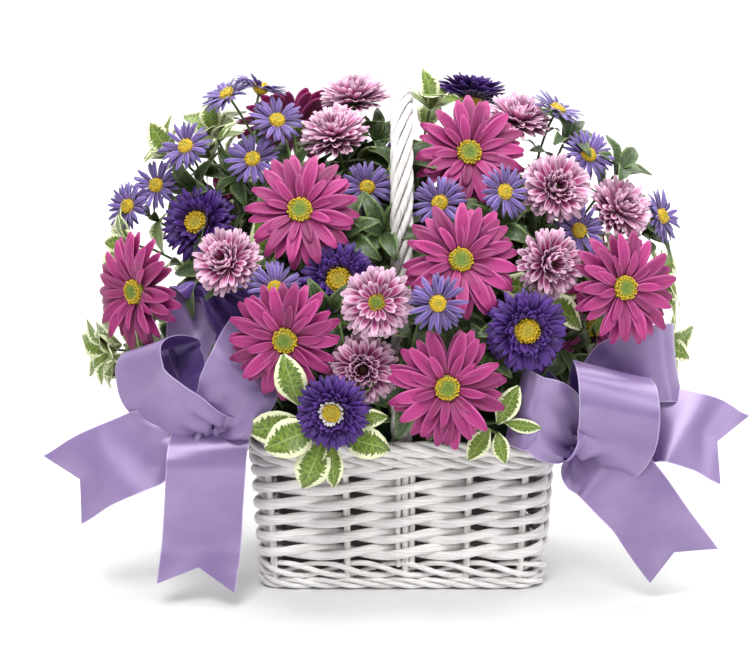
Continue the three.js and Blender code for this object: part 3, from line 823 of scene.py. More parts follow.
def spoon_petal(length, width, lift):
    """A petal that curls in towards its tip, like a spoon."""
    rise = in_mm((0, 0.2, 0.6, 1.2 + 0.3 * lift, 2.2 + lift, 3.2 + 2 * lift))
    shape = (SPOON_OUTLINE, rise, SPOON_CUP, PETAL_THICK, PINK_PETAL)
    return petal("spoon_petal", length * MM, width * MM, *shape, columns=3)


def button_head(name, opened=False):
    """A mum of curled petals, closed over a dark middle or opened to a green eye."""
    outer = [spoon_petal(20, 4.9, 0.2), spoon_petal(19, 4.5, -0.4)]
    inner = [spoon_petal(13, 3.9, 0.3), spoon_petal(11.5, 3.5, 0.5)]
    parts = [calyx(name, 8 * MM, 7 * MM)]
    for count, reach, height, tilt in ((29, 4.0, -2.6, -2), (28, 3.8, -0.8, 9), (25, 3.6, 0.8, 21)):
        parts += ring_of(outer, count, reach, height, tilt, 6, 5, 12)
    if not opened:
        for count, reach, height, tilt in ((20, 3.6, 2.0, 35), (16, 3.4, 2.8, 50), (10, 3.2, 3.2, 64)):
            parts += ring_of(inner, count, reach, height, tilt, 7, 6, 14)
        parts.append(eye_dome(name + "_eye", 4.0 * MM, 6.4 * MM, 0.8 * MM, DARK_EYE))
    else:
        parts += ring_of(inner, 16, 3.8, 2.6, 30, 7, 6, 14)
        parts.append(eye_dome(name + "_eye", 6.2 * MM, 6.6 * MM, 0.8 * MM, GREEN_EYE))
        parts += beads(18, 4.8, 4.6, 0.7)
    remove(outer + inner)
    return join(name, parts)


SMALL_ASTER_OUTLINE = (0.5, 0.9, 1.0, 0.4)


def thin_petal(length, bend):
    rise = in_mm((0, 0.5, 0.5, bend))
    shape = (SMALL_ASTER_OUTLINE, rise, 0.3 * MM, 0.3 * MM, LAVENDER_PETAL)
    return petal("thin_petal", length * MM, 3.2 * MM, *shape, columns=2)


def small_aster_head(name):
    """Two rings of thin petals round a yellow eye."""
    petals = [thin_petal(13.8, -0.6), thin_petal(14.6, 0.2)]
    parts = [calyx(name, 4 * MM, 5 * MM)]
    parts += ring_of(petals, 19, 4.4, -0.6, 4, 7, 4, 12)
    parts += ring_of(petals, 15, 4.2, 0.4, 13, 8, 5, 12)
    remove(petals)
    parts.append(eye_dome(name + "_eye", 5.5 * MM, 4.4 * MM, 0.6 * MM, YELLOW_EYE))
    parts += beads(18, 4.4, 2.7, 0.6)
    parts += beads(12, 2.9, 3.7, 0.55)
    return join(name, parts)


LEAF_LENGTH = 38
LEAF_OUTLINE = (0.10, 0.42, 0.78, 0.97, 1.0, 0.90, 0.62, 0.14)
LEAF_CUP = 2.2 * MM
LEAF_THICK = 0.4 * MM
MARGIN_WAVES = 2.6 * math.pi
WAVE_OFFSET = 1.2  # between one margin's wave and the other's


def leaf_blade(width, fall, wave, material):
    """A leaf along +Y on a short stalk, arched over, its margins waved."""
    length = LEAF_LENGTH * MM
    rise = in_mm((0, 1.8, 2.9, 3.2, 2.8, 1.4, -1.0 - fall / 2, -3.6 - fall))
    shape = (LEAF_OUTLINE, rise, LEAF_CUP, LEAF_THICK, material)
    piece = petal("leaf", length, width * MM, *shape, columns=6)
    for vertex in piece.data.vertices:
        side = vertex.co.x / (0.5 * width * MM)
        offset = WAVE_OFFSET if side > 0 else 0
        vertex.co.z += wave * MM * side * math.sin(MARGIN_WAVES * vertex.co.y / length + offset)
    return piece


# ---- stems and leaves in place -------------------------------------------------------------------
UP = Vector((0, 0, 1))
STEM_SINK = 4 * MM
STEM_RISE = 0.35  # how far a stem keeps its way out of the foam, as a share of its reach
STEM_NECK = 0.3  # and how far it keeps its way into the bloom


def bezier(a, b, c, d, t):
    return a * (1 - t) ** 3 + b * 3 * t * (1 - t) ** 2 + c * 3 * t * t * (1 - t) + d * t**3


def through(a, b, c, d, t):
    """The place a share t of the way from b to c, on a smooth line through all four."""
    squared = 2 * a - 5 * b + 4 * c - d
    cubed = 3 * b - 3 * c + d - a
    return 0.5 * (2 * b + (c - a) * t + squared * t * t + cubed * t**3)


def smooth_line(points, steps):
    """Points along a smooth line through the given ones, with as many steps between each pair."""
    line = []
    for i in range(len(points) - 1):
        a = points[i - 1] if i else points[0] * 2 - points[1]
        b, c = points[i], points[i + 1]
        d = points[i + 2] if i + 2 < len(points) else points[-1] * 2 - points[-2]
        line += [through(a, b, c, d, k / steps) for k in range(steps)]
    line.append(points[-1].copy())
    return line


def stem_line(root, middle, facing, steps=12):
    """Points up out of the foam from the root, then round to meet the back of the bloom."""
    end = middle - STEM_SINK * facing
    reach = (end - root).length
    lift = ((end - root).normalized() + UP).normalized()
    near, far = root + STEM_RISE * reach * lift, end - STEM_NECK * reach * facing
    return [bezier(root, near, far, end, i / steps) for i in range(steps + 1)]


def towards(middle, facing, spin=0.0, size=1.0):
    """The matrix that puts a head that faces +Z at a middle, facing that way."""
    turn = facing.to_track_quat("Z", "Y").to_matrix().to_4x4()
    return Matrix.Translation(middle) @ turn @ Matrix.Rotation(spin, 4, "Z") @ Matrix.Scale(size, 4)


def laid(base, tip, face):
    """The matrix that lays a leaf from base to tip, its upper side towards face."""
    along = (tip - base).normalized()
    side = along.cross(face).normalized()
    turn = Matrix((side, along, side.cross(along))).transposed().to_4x4()
    size = (tip - base).length / (LEAF_LENGTH * MM)
    return Matrix.Translation(base) @ turn @ Matrix.Scale(size, 4)


BLADES = [leaf_blade(22, fall, wave, LEAF) for fall, wave in ((2, 1.4), (5, 1.8), (0, 1.1))]
DARK_BLADES = [leaf_blade(15, fall, wave, DARK_LEAF) for fall, wave in ((3, 1.0), (7, 0.7))]


def leaf_at(base, tip, face, blades):
    return copy_mesh(rng.choice(blades), laid(base, tip, face), rng.random())


GOLDEN_TURN = math.pi * (3 - math.sqrt(5))
LEAF_TURN = math.radians(137)  # from each leaf of a stem to the next


def length_along(points):
    """How far along its line each of the points is."""
    travelled = [0.0]
    for a, b in zip(points, points[1:]):
        travelled.append(travelled[-1] + (b - a).length)
    return travelled


def leaves_along(points, first, last, count, blades, length):
    """Leaves set alternately up a stem between two shares of its length, leaning out and up."""
    placed = []
    turn = rng.uniform(0, 2 * math.pi)
    for i in range(count):
        share = first + (last - first) * (i + rng.uniform(0.2, 0.8)) / count
        place = share * (len(points) - 1)
        k = min(int(place), len(points) - 2)
        base = points[k].lerp(points[k + 1], place - k)
        along = (points[k + 1] - points[k]).normalized()
        turn += LEAF_TURN
        out = (Matrix.Rotation(turn, 3, along) @ along.orthogonal().normalized()).normalized()
        reach = length * rng.uniform(0.8, 1.15) * MM
        tip = base + reach * (0.85 * out + 0.5 * along + 0.1 * UP).normalized()
        placed.append(leaf_at(base, tip, (along * 0.8 - 0.3 * out + 0.3 * UP).normalized(), blades))
    return placed


ROSETTE_TURN = 1.03 * 2 * math.pi  # a little past a full turn, so that the leaves don't pair up
ROSETTE_SINK = 3 * MM


def rosette(middle, facing, count, length, blades, tilt=30):
    """Leaves round the end of a shoot. tilt leans them towards its way, in degrees."""
    placed = []
    start = rng.uniform(0, 2 * math.pi)
    across = facing.orthogonal().normalized()
    for i in range(count):
        out = (Matrix.Rotation(start + ROSETTE_TURN * i / count, 3, facing) @ across).normalized()
        lean = math.radians(tilt + rng.uniform(-18, 22))
        reach = length * rng.uniform(0.75, 1.1) * MM
        tip = middle + reach * (math.cos(lean) * out + math.sin(lean) * facing)
        placed.append(leaf_at(middle - ROSETTE_SINK * facing, tip, facing, blades))
    return placed


# ---- the cut flowers -----------------------------------------------------------------------------
petals = [daisy_petal(31, 9.4, 1.0), daisy_petal(30, 8.6, 0.2), daisy_petal(32, 9.8, 1.8)]
HEADS = {
    "magenta": [daisy_head("daisy_%d" % i, petals) for i in range(3)],
    "purple": [matsumoto_head("matsumoto_%d" % i) for i in range(2)],
    "pink": [button_head("button_%d" % i) for i in range(3)],
    "lavender": [small_aster_head("small_aster_%d" % i) for i in range(3)],
}
SPECIAL_HEADS = {
    "purple_aster_low_left": matsumoto_head("ringed_matsumoto", ringed=True),
    "pink_mum_middle": button_head("open_button", opened=True),
}
SPECIAL_SIZE = {"purple_aster_low_left": 0.9}
# The middle aster stands forward of its solid, clear of the daisy over it.
FORWARD = {"purple_aster_middle": Vector((0, -14, 0)) * MM}
STEMS = {"magenta": 1.8, "purple": 1.7, "pink": 1.5, "lavender": 1.1, "leaf": 1.4}
BRANCH = 0.85  # a branch's thickness as a share of its stem's
FORK_SHARE = 0.55
FORK_LIFT = Vector((0, 0, 12)) * MM
SLOTS = {
    "magenta": "magenta_bloom",
    "purple": "purple_bloom",
    "pink": "pink_bloom",
    "lavender": "lavender_bloom",
    "leaf": "variegated_leaf",
}
remove(petals)


def stem_rod(points, radius):
    radii = [radius * MM * (1.1 - 0.2 * i / (len(points) - 1)) for i in range(len(points))]
    return rod("stem", points, radii, STEM_GREEN, sides=7)


def stems_of(kind, blooms, root):
    """(rods, the line to each bloom): one stem, or a main stem that forks."""
    radius = STEMS[kind]
    if len(blooms) == 1:
        line = stem_line(root, *blooms[0])
        return [stem_rod(line, radius)], [line]
    middle = sum((at for at, _ in blooms), Vector()) / len(blooms)
    fork = root.lerp(middle, FORK_SHARE) + FORK_LIFT
    lines = [stem_line(fork, *bloom) for bloom in blooms]
    trunk = [root.lerp(fork, i / 4) for i in range(5)]
    rods = [stem_rod(trunk, radius)] + [stem_rod(line, radius * BRANCH) for line in lines]
    return rods, lines


# The leaves that lie over the basket's front: (base, tip, width as a share of a leaf's own).
FRONT_LEAVES = {
    "leaf_sprig_front_left": (
        ((-66, -117, 140), (-76, -123, 174), 1),
        ((-60, -116, 128), (-101, -110, 121), 0.9),
        ((-53, -121, 126), (-88, -128, 114), 1.2),
        ((-50, -122, 119), (-64, -128, 87), 1.1),
        ((-45, -122, 118), (-44, -128, 88), 0.8),
        ((-40, -121, 120), (-8, -126, 113), 1.1),
        ((-34, -118, 128), (-10, -122, 134), 0.9),
    ),
    "leaf_sprig_front_right": (
        ((62, -112, 126), (75, -117, 152), 0.9),
        ((57, -116, 124), (43, -125, 106), 1.0),
        ((62, -116, 122), (66, -125, 104), 1.0),
        ((66, -113, 128), (90, -116, 124), 0.7),
    ),
}
TO_FRONT = Vector((0, -0.95, 0.3))
TWIG_RADIUS = 0.9 * MM
TWIG_BOW = Vector((0, -2, 3)) * MM


def front_leaves(name, blooms):
    """Leaves in their own places, each on a twig from the nearest shoot."""
    parts = []
    for base, tip, width in FRONT_LEAVES[name]:
        base, tip = Vector(base) * MM, Vector(tip) * MM
        shoot = min((middle for middle, _ in blooms), key=lambda middle: (middle - base).length)
        bow = shoot.lerp(base, 0.5) + TWIG_BOW
        twig = smooth_line([shoot, bow, base.lerp(tip, 0.06)], 4)
        parts.append(rod("twig", twig, [TWIG_RADIUS] * len(twig), STEM_GREEN, sides=6))
        face = (TO_FRONT + 0.35 * Vector((rng.uniform(-1, 1), 0, rng.uniform(-1, 1)))).normalized()
        placed = laid(base, tip, face) @ Matrix.Diagonal((width, 1, 0.8, 1))
        parts.append(copy_mesh(rng.choice(BLADES), placed, rng.random()))
    return parts


def make_plant(name):
    """One flower, spray or sprig in the place of its CAD node. Gives its (middle, facing) pairs."""
    kind = name.split("_")[0]
    radius, height = EYES[kind]
    blooms = blooms_of(name, radius * MM, height * MM)
    blooms = [(middle + FORWARD.get(name, Vector()), facing) for middle, facing in blooms]
    parts, lines = stems_of(kind, blooms, root_of(name))
    for (middle, facing), line in zip(blooms, lines):
        if name in FRONT_LEAVES:
            continue
        if kind == "leaf":
            parts += rosette(middle, facing, 8, 32, BLADES)
            parts += leaves_along(line, 0.55, 0.95, 3, BLADES, 34)
            continue
        head = SPECIAL_HEADS.get(name) or rng.choice(HEADS[kind])
        size = SPECIAL_SIZE.get(name, 1.0) * rng.uniform(0.97, 1.02)
        spin = rng.uniform(0, 6.28)
        parts.append(copy_mesh(head, towards(middle, facing, spin, size)))
        if kind == "lavender":
            parts += leaves_along(line, 0.5, 0.9, 3, DARK_BLADES, 16)
        else:
            parts += leaves_along(line, 0.4, 0.85, 4, DARK_BLADES, 32)
    if name in FRONT_LEAVES:
        parts += front_leaves(name, blooms)
    finish_piece(join("cut_" + name, parts), SLOTS[kind], name)
    return blooms


all_blooms = []
for name in list(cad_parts):
    if name.split("_")[0] in EYES:
        all_blooms += make_plant(name)


# ---- foliage that fills the inside ---------------------------------------------------------------
FILL_MIDDLE = Vector((0, 0, 165)) * MM
FILL_REACH = (172, 104, 142)
FILL_COUNT = 96
FILL_FALL = 1.28  # how far the dome comes down from its top, as a share of its height
FILL_BOTTOM = 108 * MM
BLOOM_DEPTH = 12 * MM
ROOM_ROUND_BLOOM = 24 * MM
FOAM_TOP = 100 * MM
SHOOT_RADIUS = 1.0
VARIEGATED_SHARE = 0.22


def clear_of_blooms(place):
    backs = [middle - BLOOM_DEPTH * facing for middle, facing in all_blooms]
    return all((place - back).length > ROOM_ROUND_BLOOM for back in backs)


def filler_places():
    """Places spread over a dome inside the flowers, clear of every bloom."""
    for i in range(FILL_COUNT):
        rise = 1 - FILL_FALL * (i + 0.5) / FILL_COUNT
        around = i * GOLDEN_TURN
        level = math.sqrt(max(0, 1 - rise * rise))
        out = Vector((level * math.cos(around), level * math.sin(around), rise))
        depth = rng.uniform(0.62, 0.93)
        place = FILL_MIDDLE + Vector([o * reach * MM * depth for o, reach in zip(out, FILL_REACH)])
        if place.z > FILL_BOTTOM and clear_of_blooms(place):
            yield place, out


def add_filler():
    """Dark foliage between and behind the flowers."""
    for i, (place, out) in enumerate(filler_places()):
        root = Vector((place.x * 0.4, place.y * 0.34, FOAM_TOP))
        line = stem_line(root, place, out, 8)
        blades = BLADES if rng.random() < VARIEGATED_SHARE else DARK_BLADES
        parts = [stem_rod(line, SHOOT_RADIUS)]
        parts += rosette(place, out, 7, 34, blades, 25)
        parts += leaves_along(line, 0.45, 0.95, 5, DARK_BLADES, 32)
        finish_piece(join("filler_sprig_%02d" % (i + 1), parts), "variegated_leaf")


# Sprigs at the edges of the flowers: (where the shoot ends, the way it points, variegated or not).
EDGE_SPRIGS = (
    ((-128, 8, 300), (-0.4, -0.3, 0.85), True),
    ((-158, 16, 286), (-0.7, -0.3, 0.6), True),
    ((-112, 2, 272), (-0.4, -0.7, 0.5), False),
    ((-140, 4, 262), (-0.5, -0.7, 0.3), False),
    ((-186, -6, 226), (-0.8, -0.5, 0.2), True),
    ((-18, 12, 296), (0.3, -0.4, 0.85), False),
    ((-30, 6, 284), (0.2, -0.8, 0.5), False),
    ((20, 24, 318), (0.2, -0.3, 0.9), True),
    ((112, 10, 296), (0.3, -0.4, 0.8), False),
    ((148, 8, 274), (0.5, -0.4, 0.7), False),
    ((168, 4, 232), (0.8, -0.4, 0.3), False),
    ((-196, -34, 158), (-0.8, -0.5, 0.1), True),
    ((-178, -30, 150), (-0.5, -0.8, -0.1), True),
    ((176, -16, 158), (0.9, -0.4, 0.0), True),
    ((62, -58, 246), (0.2, -0.9, 0.3), False),
    ((-12, -62, 244), (0.0, -0.9, 0.3), False),
    ((58, -98, 170), (0.1, -0.95, 0.1), False),
    ((-48, -96, 196), (0.0, -0.95, 0.2), False),
    ((106, -50, 152), (0.2, -0.9, 0.1), False),
)


def add_edge_sprigs():
    for i, (place, out, variegated) in enumerate(EDGE_SPRIGS):
        place, out = Vector(place) * MM, Vector(out).normalized()
        root = Vector((place.x * 0.42, place.y * 0.36, FOAM_TOP))
        line = stem_line(root, place, out, 10)
        blades = BLADES if variegated else DARK_BLADES
        parts = [stem_rod(line, SHOOT_RADIUS)]
        parts += rosette(place, out, 6, 27, blades, 34)
        parts += leaves_along(line, 0.5, 0.95, 6, blades, 27)
        finish_piece(join("edge_sprig_%02d" % (i + 1), parts), "variegated_leaf")


add_filler()
add_edge_sprigs()
for kind in HEADS.values():
    remove(kind)
remove(SPECIAL_HEADS.values())


# ---- the woven basket ----------------------------------------------------------------------------
# The weave's middle line is a rounded rectangle at the rim, and gets smaller towards the foot.
WEAVE_HALF = (99.5, 73)
WEAVE_CORNER = 17
FOOT_SHARE = 0.94
RIM_HEIGHT = 104
STRAIGHTS = (2 * (WEAVE_HALF[0] - WEAVE_CORNER), 2 * (WEAVE_HALF[1] - WEAVE_CORNER))
ARC = WEAVE_CORNER * math.pi / 2
ROUND = 2 * sum(STRAIGHTS) + 4 * ARC


def weave_place(along, height, out=0.0):
    """The place so far along the weave from the middle of its front, and so far out from its line."""
    along = (along + STRAIGHTS[0] / 2) % ROUND
    corner = (WEAVE_HALF[0] - WEAVE_CORNER, -(WEAVE_HALF[1] - WEAVE_CORNER))
    heading = 0.0
    for straight in (STRAIGHTS[0], STRAIGHTS[1], STRAIGHTS[0], STRAIGHTS[1]):
        ahead = Vector((math.cos(heading), math.sin(heading)))
        outward = Vector((math.sin(heading), -math.cos(heading)))
        if along < straight:
            middle = Vector(corner) + (along - straight) * ahead
            flat = middle + (WEAVE_CORNER + out) * outward
            break
        along -= straight
        if along < ARC:
            turn = heading + along / WEAVE_CORNER
            flat = Vector(corner) + (WEAVE_CORNER + out) * Vector((math.sin(turn), -math.cos(turn)))
            break
        along -= ARC
        heading += math.pi / 2
        corner = {1: (1, 1), 2: (-1, 1), 3: (-1, -1), 4: (1, -1)}[round(heading / (math.pi / 2))]
        corner = (corner[0] * (WEAVE_HALF[0] - WEAVE_CORNER), corner[1] * (WEAVE_HALF[1] - WEAVE_CORNER))
    share = FOOT_SHARE + (1 - FOOT_SHARE) * height / RIM_HEIGHT
    return Vector((flat.x * share, flat.y * share, height)) * MM


# Where the upright stakes stand, in mm along the weave from the middle of the front.
FRONT_STAKES = (-91, -38.5, 2.5, 46, 84)
SIDE_STAKES = (124, 162, 200, 240)
BACK_STAKES = (281, 322, 363, 404)
LEFT_STAKES = (443, 481, 517)
STAKES = FRONT_STAKES + SIDE_STAKES + BACK_STAKES + LEFT_STAKES
STAKE_RADIUS = 2.3
THIN_STAKE = 1.9
STAKE_SPAN = (6, 100)
THIN_STAKE_SPAN = (16, 100)
THIN_STAKES = (-2.6, 7.4)  # one at each side of the handle's end
ROD_HALF_HEIGHT = 3.25
ROD_HALF_DEPTH = 1.9
ROD_CLIMB = 2.7
FIRST_ROW = 26.5
ROW_PITCH = 11.4
ROWS = 6
STEPS = 10
BAND_STEPS = 14  # points to each turn of a roped band
BAND_DRIFT = 0.12


def stake_along(number):
    """The place along the weave of a stake number that may lie between two stakes."""
    low = math.floor(number)
    turns, first = divmod(low, len(STAKES))
    start = STAKES[first] + turns * ROUND
    turns, second = divmod(low + 1, len(STAKES))
    end = STAKES[second] + turns * ROUND
    return start + (end - start) * (number - low)


def thickness(radius, play):
    """A radius in metres that strays by a share of itself either way."""
    return radius * MM * rng.uniform(1 - play, 1 + play)


def woven_row(level, phase):
    """One rod of a pair: in front of every other stake, climbing to the right, and behind the rest."""
    points, radii = [], []
    drift = [rng.uniform(-0.5, 0.5) for _ in STAKES]
    thick = [rng.uniform(0.88, 1.1) for _ in STAKES]
    for i in range(len(STAKES) * STEPS):
        number = i / STEPS
        low, part = int(number), number - int(number)
        following = (low + 1) % len(STAKES)
        turn = math.pi * (number + phase)
        depth = (STAKE_RADIUS + ROD_HALF_DEPTH) * math.cos(turn)
        lift = ROD_CLIMB * math.sin(turn)
        sway = drift[low] * (1 - part) + drift[following] * part
        points.append(weave_place(stake_along(number), level + lift + sway, depth))
        radii.append(ROD_HALF_HEIGHT * MM * (thick[low] * (1 - part) + thick[following] * part))
    flat = ROD_HALF_DEPTH / ROD_HALF_HEIGHT
    return rod("weaver", points, radii, WILLOW_ROUND, flat, 10, closed=True)


def roped_band(level, out, strands, rise, swing, radius, turn_length):
    """Rods twisted round each other round the basket. rise and swing are the rope's half height and depth."""
    turns = round(ROUND / turn_length)
    made = []
    count = turns * BAND_STEPS
    for strand in range(strands):
        points, radii = [], []
        for i in range(count):
            angle = 2 * math.pi * (turns * i / count + strand / strands)
            lift = rise * math.cos(angle) + rng.uniform(-BAND_DRIFT, BAND_DRIFT)
            points.append(weave_place(ROUND * i / count, level + lift, out + swing * math.sin(angle)))
            radii.append(thickness(radius, 0.03))
        made.append(rod("roped_rod", points, radii, WILLOW_ROUND, sides=9, closed=True))
    return made


def stake(along, span, radius=STAKE_RADIUS):
    """An upright rod, a little crooked, between the two heights of its span."""
    bottom, top = span
    points = []
    for i in range(7):
        points.append(weave_place(along + rng.uniform(-0.4, 0.4), bottom + (top - bottom) * i / 6))
    radii = [thickness(radius, 0.05) for _ in points]
    return rod("stake", points, radii, SHADED_WILLOW_UPRIGHT, sides=9)


def add_wall():
    parts = []
    for row in range(ROWS):
        level = FIRST_ROW + row * ROW_PITCH
        parts += [woven_row(level, 0), woven_row(level, 1)]
    parts += [stake(along, STAKE_SPAN) for along in STAKES]
    parts += [stake(along, THIN_STAKE_SPAN, THIN_STAKE) for along in THIN_STAKES]
    finish_piece(join("woven_wall", parts), "white_willow", "basket_wall")


def add_rim():
    parts = roped_band(89.5, 0.6, 3, 2.6, 2.6, 2.2, 56)
    parts += roped_band(98.5, 0.4, 4, 3.4, 3.4, 2.5, 72)
    finish_piece(join("rolled_rim", parts), "white_willow", "basket_rim")


def add_foot():
    parts = roped_band(14.0, 0.0, 3, 4.4, 3.4, 1.9, 84)
    parts += roped_band(4.5, 0.8, 3, 2.3, 2.2, 1.8, 60)
    finish_piece(join("twisted_foot", parts), "white_willow", "basket_foot")


BOTTOM_LEVEL = 3.4
BOTTOM_PITCH = 18
BOTTOM_STICKS = [BOTTOM_PITCH * i for i in range(-4, 5)]
BOTTOM_STICK = (58, 1.7)  # half its length, and its radius
BOTTOM_ROD = (85, 1.9)
BOTTOM_ROWS = 21
BOTTOM_HALF = 56
BOTTOM_SWING = 1.5
BOTTOM_STEPS = 64


def add_bottom():
    """Rods woven over and under the sticks of the bottom."""
    parts = []
    half, radius = BOTTOM_STICK
    for x in BOTTOM_STICKS:
        points = [Vector((x, -half + 2 * half * i / 4, BOTTOM_LEVEL)) * MM for i in range(5)]
        parts.append(rod("bottom_stick", points, [radius * MM] * 5, SHADED_WILLOW_UPRIGHT, sides=8))
    half, radius = BOTTOM_ROD
    for row in range(BOTTOM_ROWS):
        y = -BOTTOM_HALF + 2 * BOTTOM_HALF * row / (BOTTOM_ROWS - 1)
        points = []
        for i in range(BOTTOM_STEPS + 1):
            x = -half + 2 * half * i / BOTTOM_STEPS
            lift = BOTTOM_SWING * math.cos(math.pi * (x / BOTTOM_PITCH + row))
            points.append(Vector((x, y, BOTTOM_LEVEL + lift)) * MM)
        parts.append(rod("bottom_rod", points, [radius * MM] * len(points), WILLOW_ROUND, sides=7))
    finish_piece(join("woven_bottom", parts), "white_willow", "basket_base")


# The handle's line by (distance from the middle, height): up inside the front wall and over to the back.
HANDLE_HALF = ((57.2, 26), (58.2, 100), (66, 190), (67, 245), (56, 292), (32, 320))
HANDLE_TOP = 327.5
HANDLE_RODS = 6
HANDLE_TURN = 85  # the length in which a rod goes once round
HANDLE_ROPE = 5.5 * MM  # from the handle's line to the middle of each rod
HANDLE_ROD = 2.3
HANDLE_CORE = 2.0 * MM


def add_handle():
    """A hoop of rods twisted round a core, from the front wall to the back one."""
    front = [Vector((0, -reach, height)) * MM for reach, height in HANDLE_HALF]
    back = [Vector((0, reach, height)) * MM for reach, height in reversed(HANDLE_HALF)]
    line = smooth_line(front + [Vector((0, 0, HANDLE_TOP)) * MM] + back, 10)
    travelled = length_along(line)
    parts = []
    sideways = Vector((1, 0, 0))
    for strand in range(HANDLE_RODS):
        points, radii = [], []
        for i, place in enumerate(line):
            along = (line[min(i + 1, len(line) - 1)] - line[max(i - 1, 0)]).normalized()
            angle = 2 * math.pi * (travelled[i] / (HANDLE_TURN * MM) + strand / HANDLE_RODS)
            offset = math.cos(angle) * sideways + math.sin(angle) * along.cross(sideways)
            points.append(place + HANDLE_ROPE * offset)
            radii.append(thickness(HANDLE_ROD, 0.03))
        parts.append(rod("handle_rod", points, radii, SHADED_WILLOW_UPRIGHT, sides=9))
    parts.append(rod("handle_core", line, [HANDLE_CORE] * len(line), SHADED_WILLOW_UPRIGHT, sides=8))
    finish_piece(join("twisted_handle", parts), "white_willow", "basket_handle")


add_wall()
add_rim()
add_foot()
add_bottom()
add_handle()


def refinish(node_name, material):
    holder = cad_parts[node_name]
    for slot in holder.material_slots:
        slot.material = material


refinish("floral_foam", FOAM)
refinish("plastic_liner", LINER)


# ---- the two bows --------------------------------------------------------------------------------
RIBBON_WIDTH = 52
RIBBON_THICK = 0.4 * MM
RIBBON_COLUMNS = 16
RIBBON_STEPS = 7
RIBBON_CREASE = math.radians(50)
PLEATS = 3
LOOP_PLEATS = 1.0
TAIL_PLEATS = 0.6
WRAP_PLEATS = 0.3
LOOP_RIPPLE = (1.2 * MM, 58)  # its height, and its turn in radians for each metre
TAIL_RIPPLE = (1.6 * MM, 112)
RIPPLE_SLANT = 1.2
TURNED_FOR_SHADE = ("left_loop_back",)  # the ribbons that are twisted, with their back outwards, so that their deep back colour paints shade on them
FULL_FROM = 1.06  # a ribbon whose share, made greater by this, reaches 1 lies flat
LEAST_SHARE = 0.25
KNOT_RADIUS = 4.5
KNOT_SHARE = 0.28
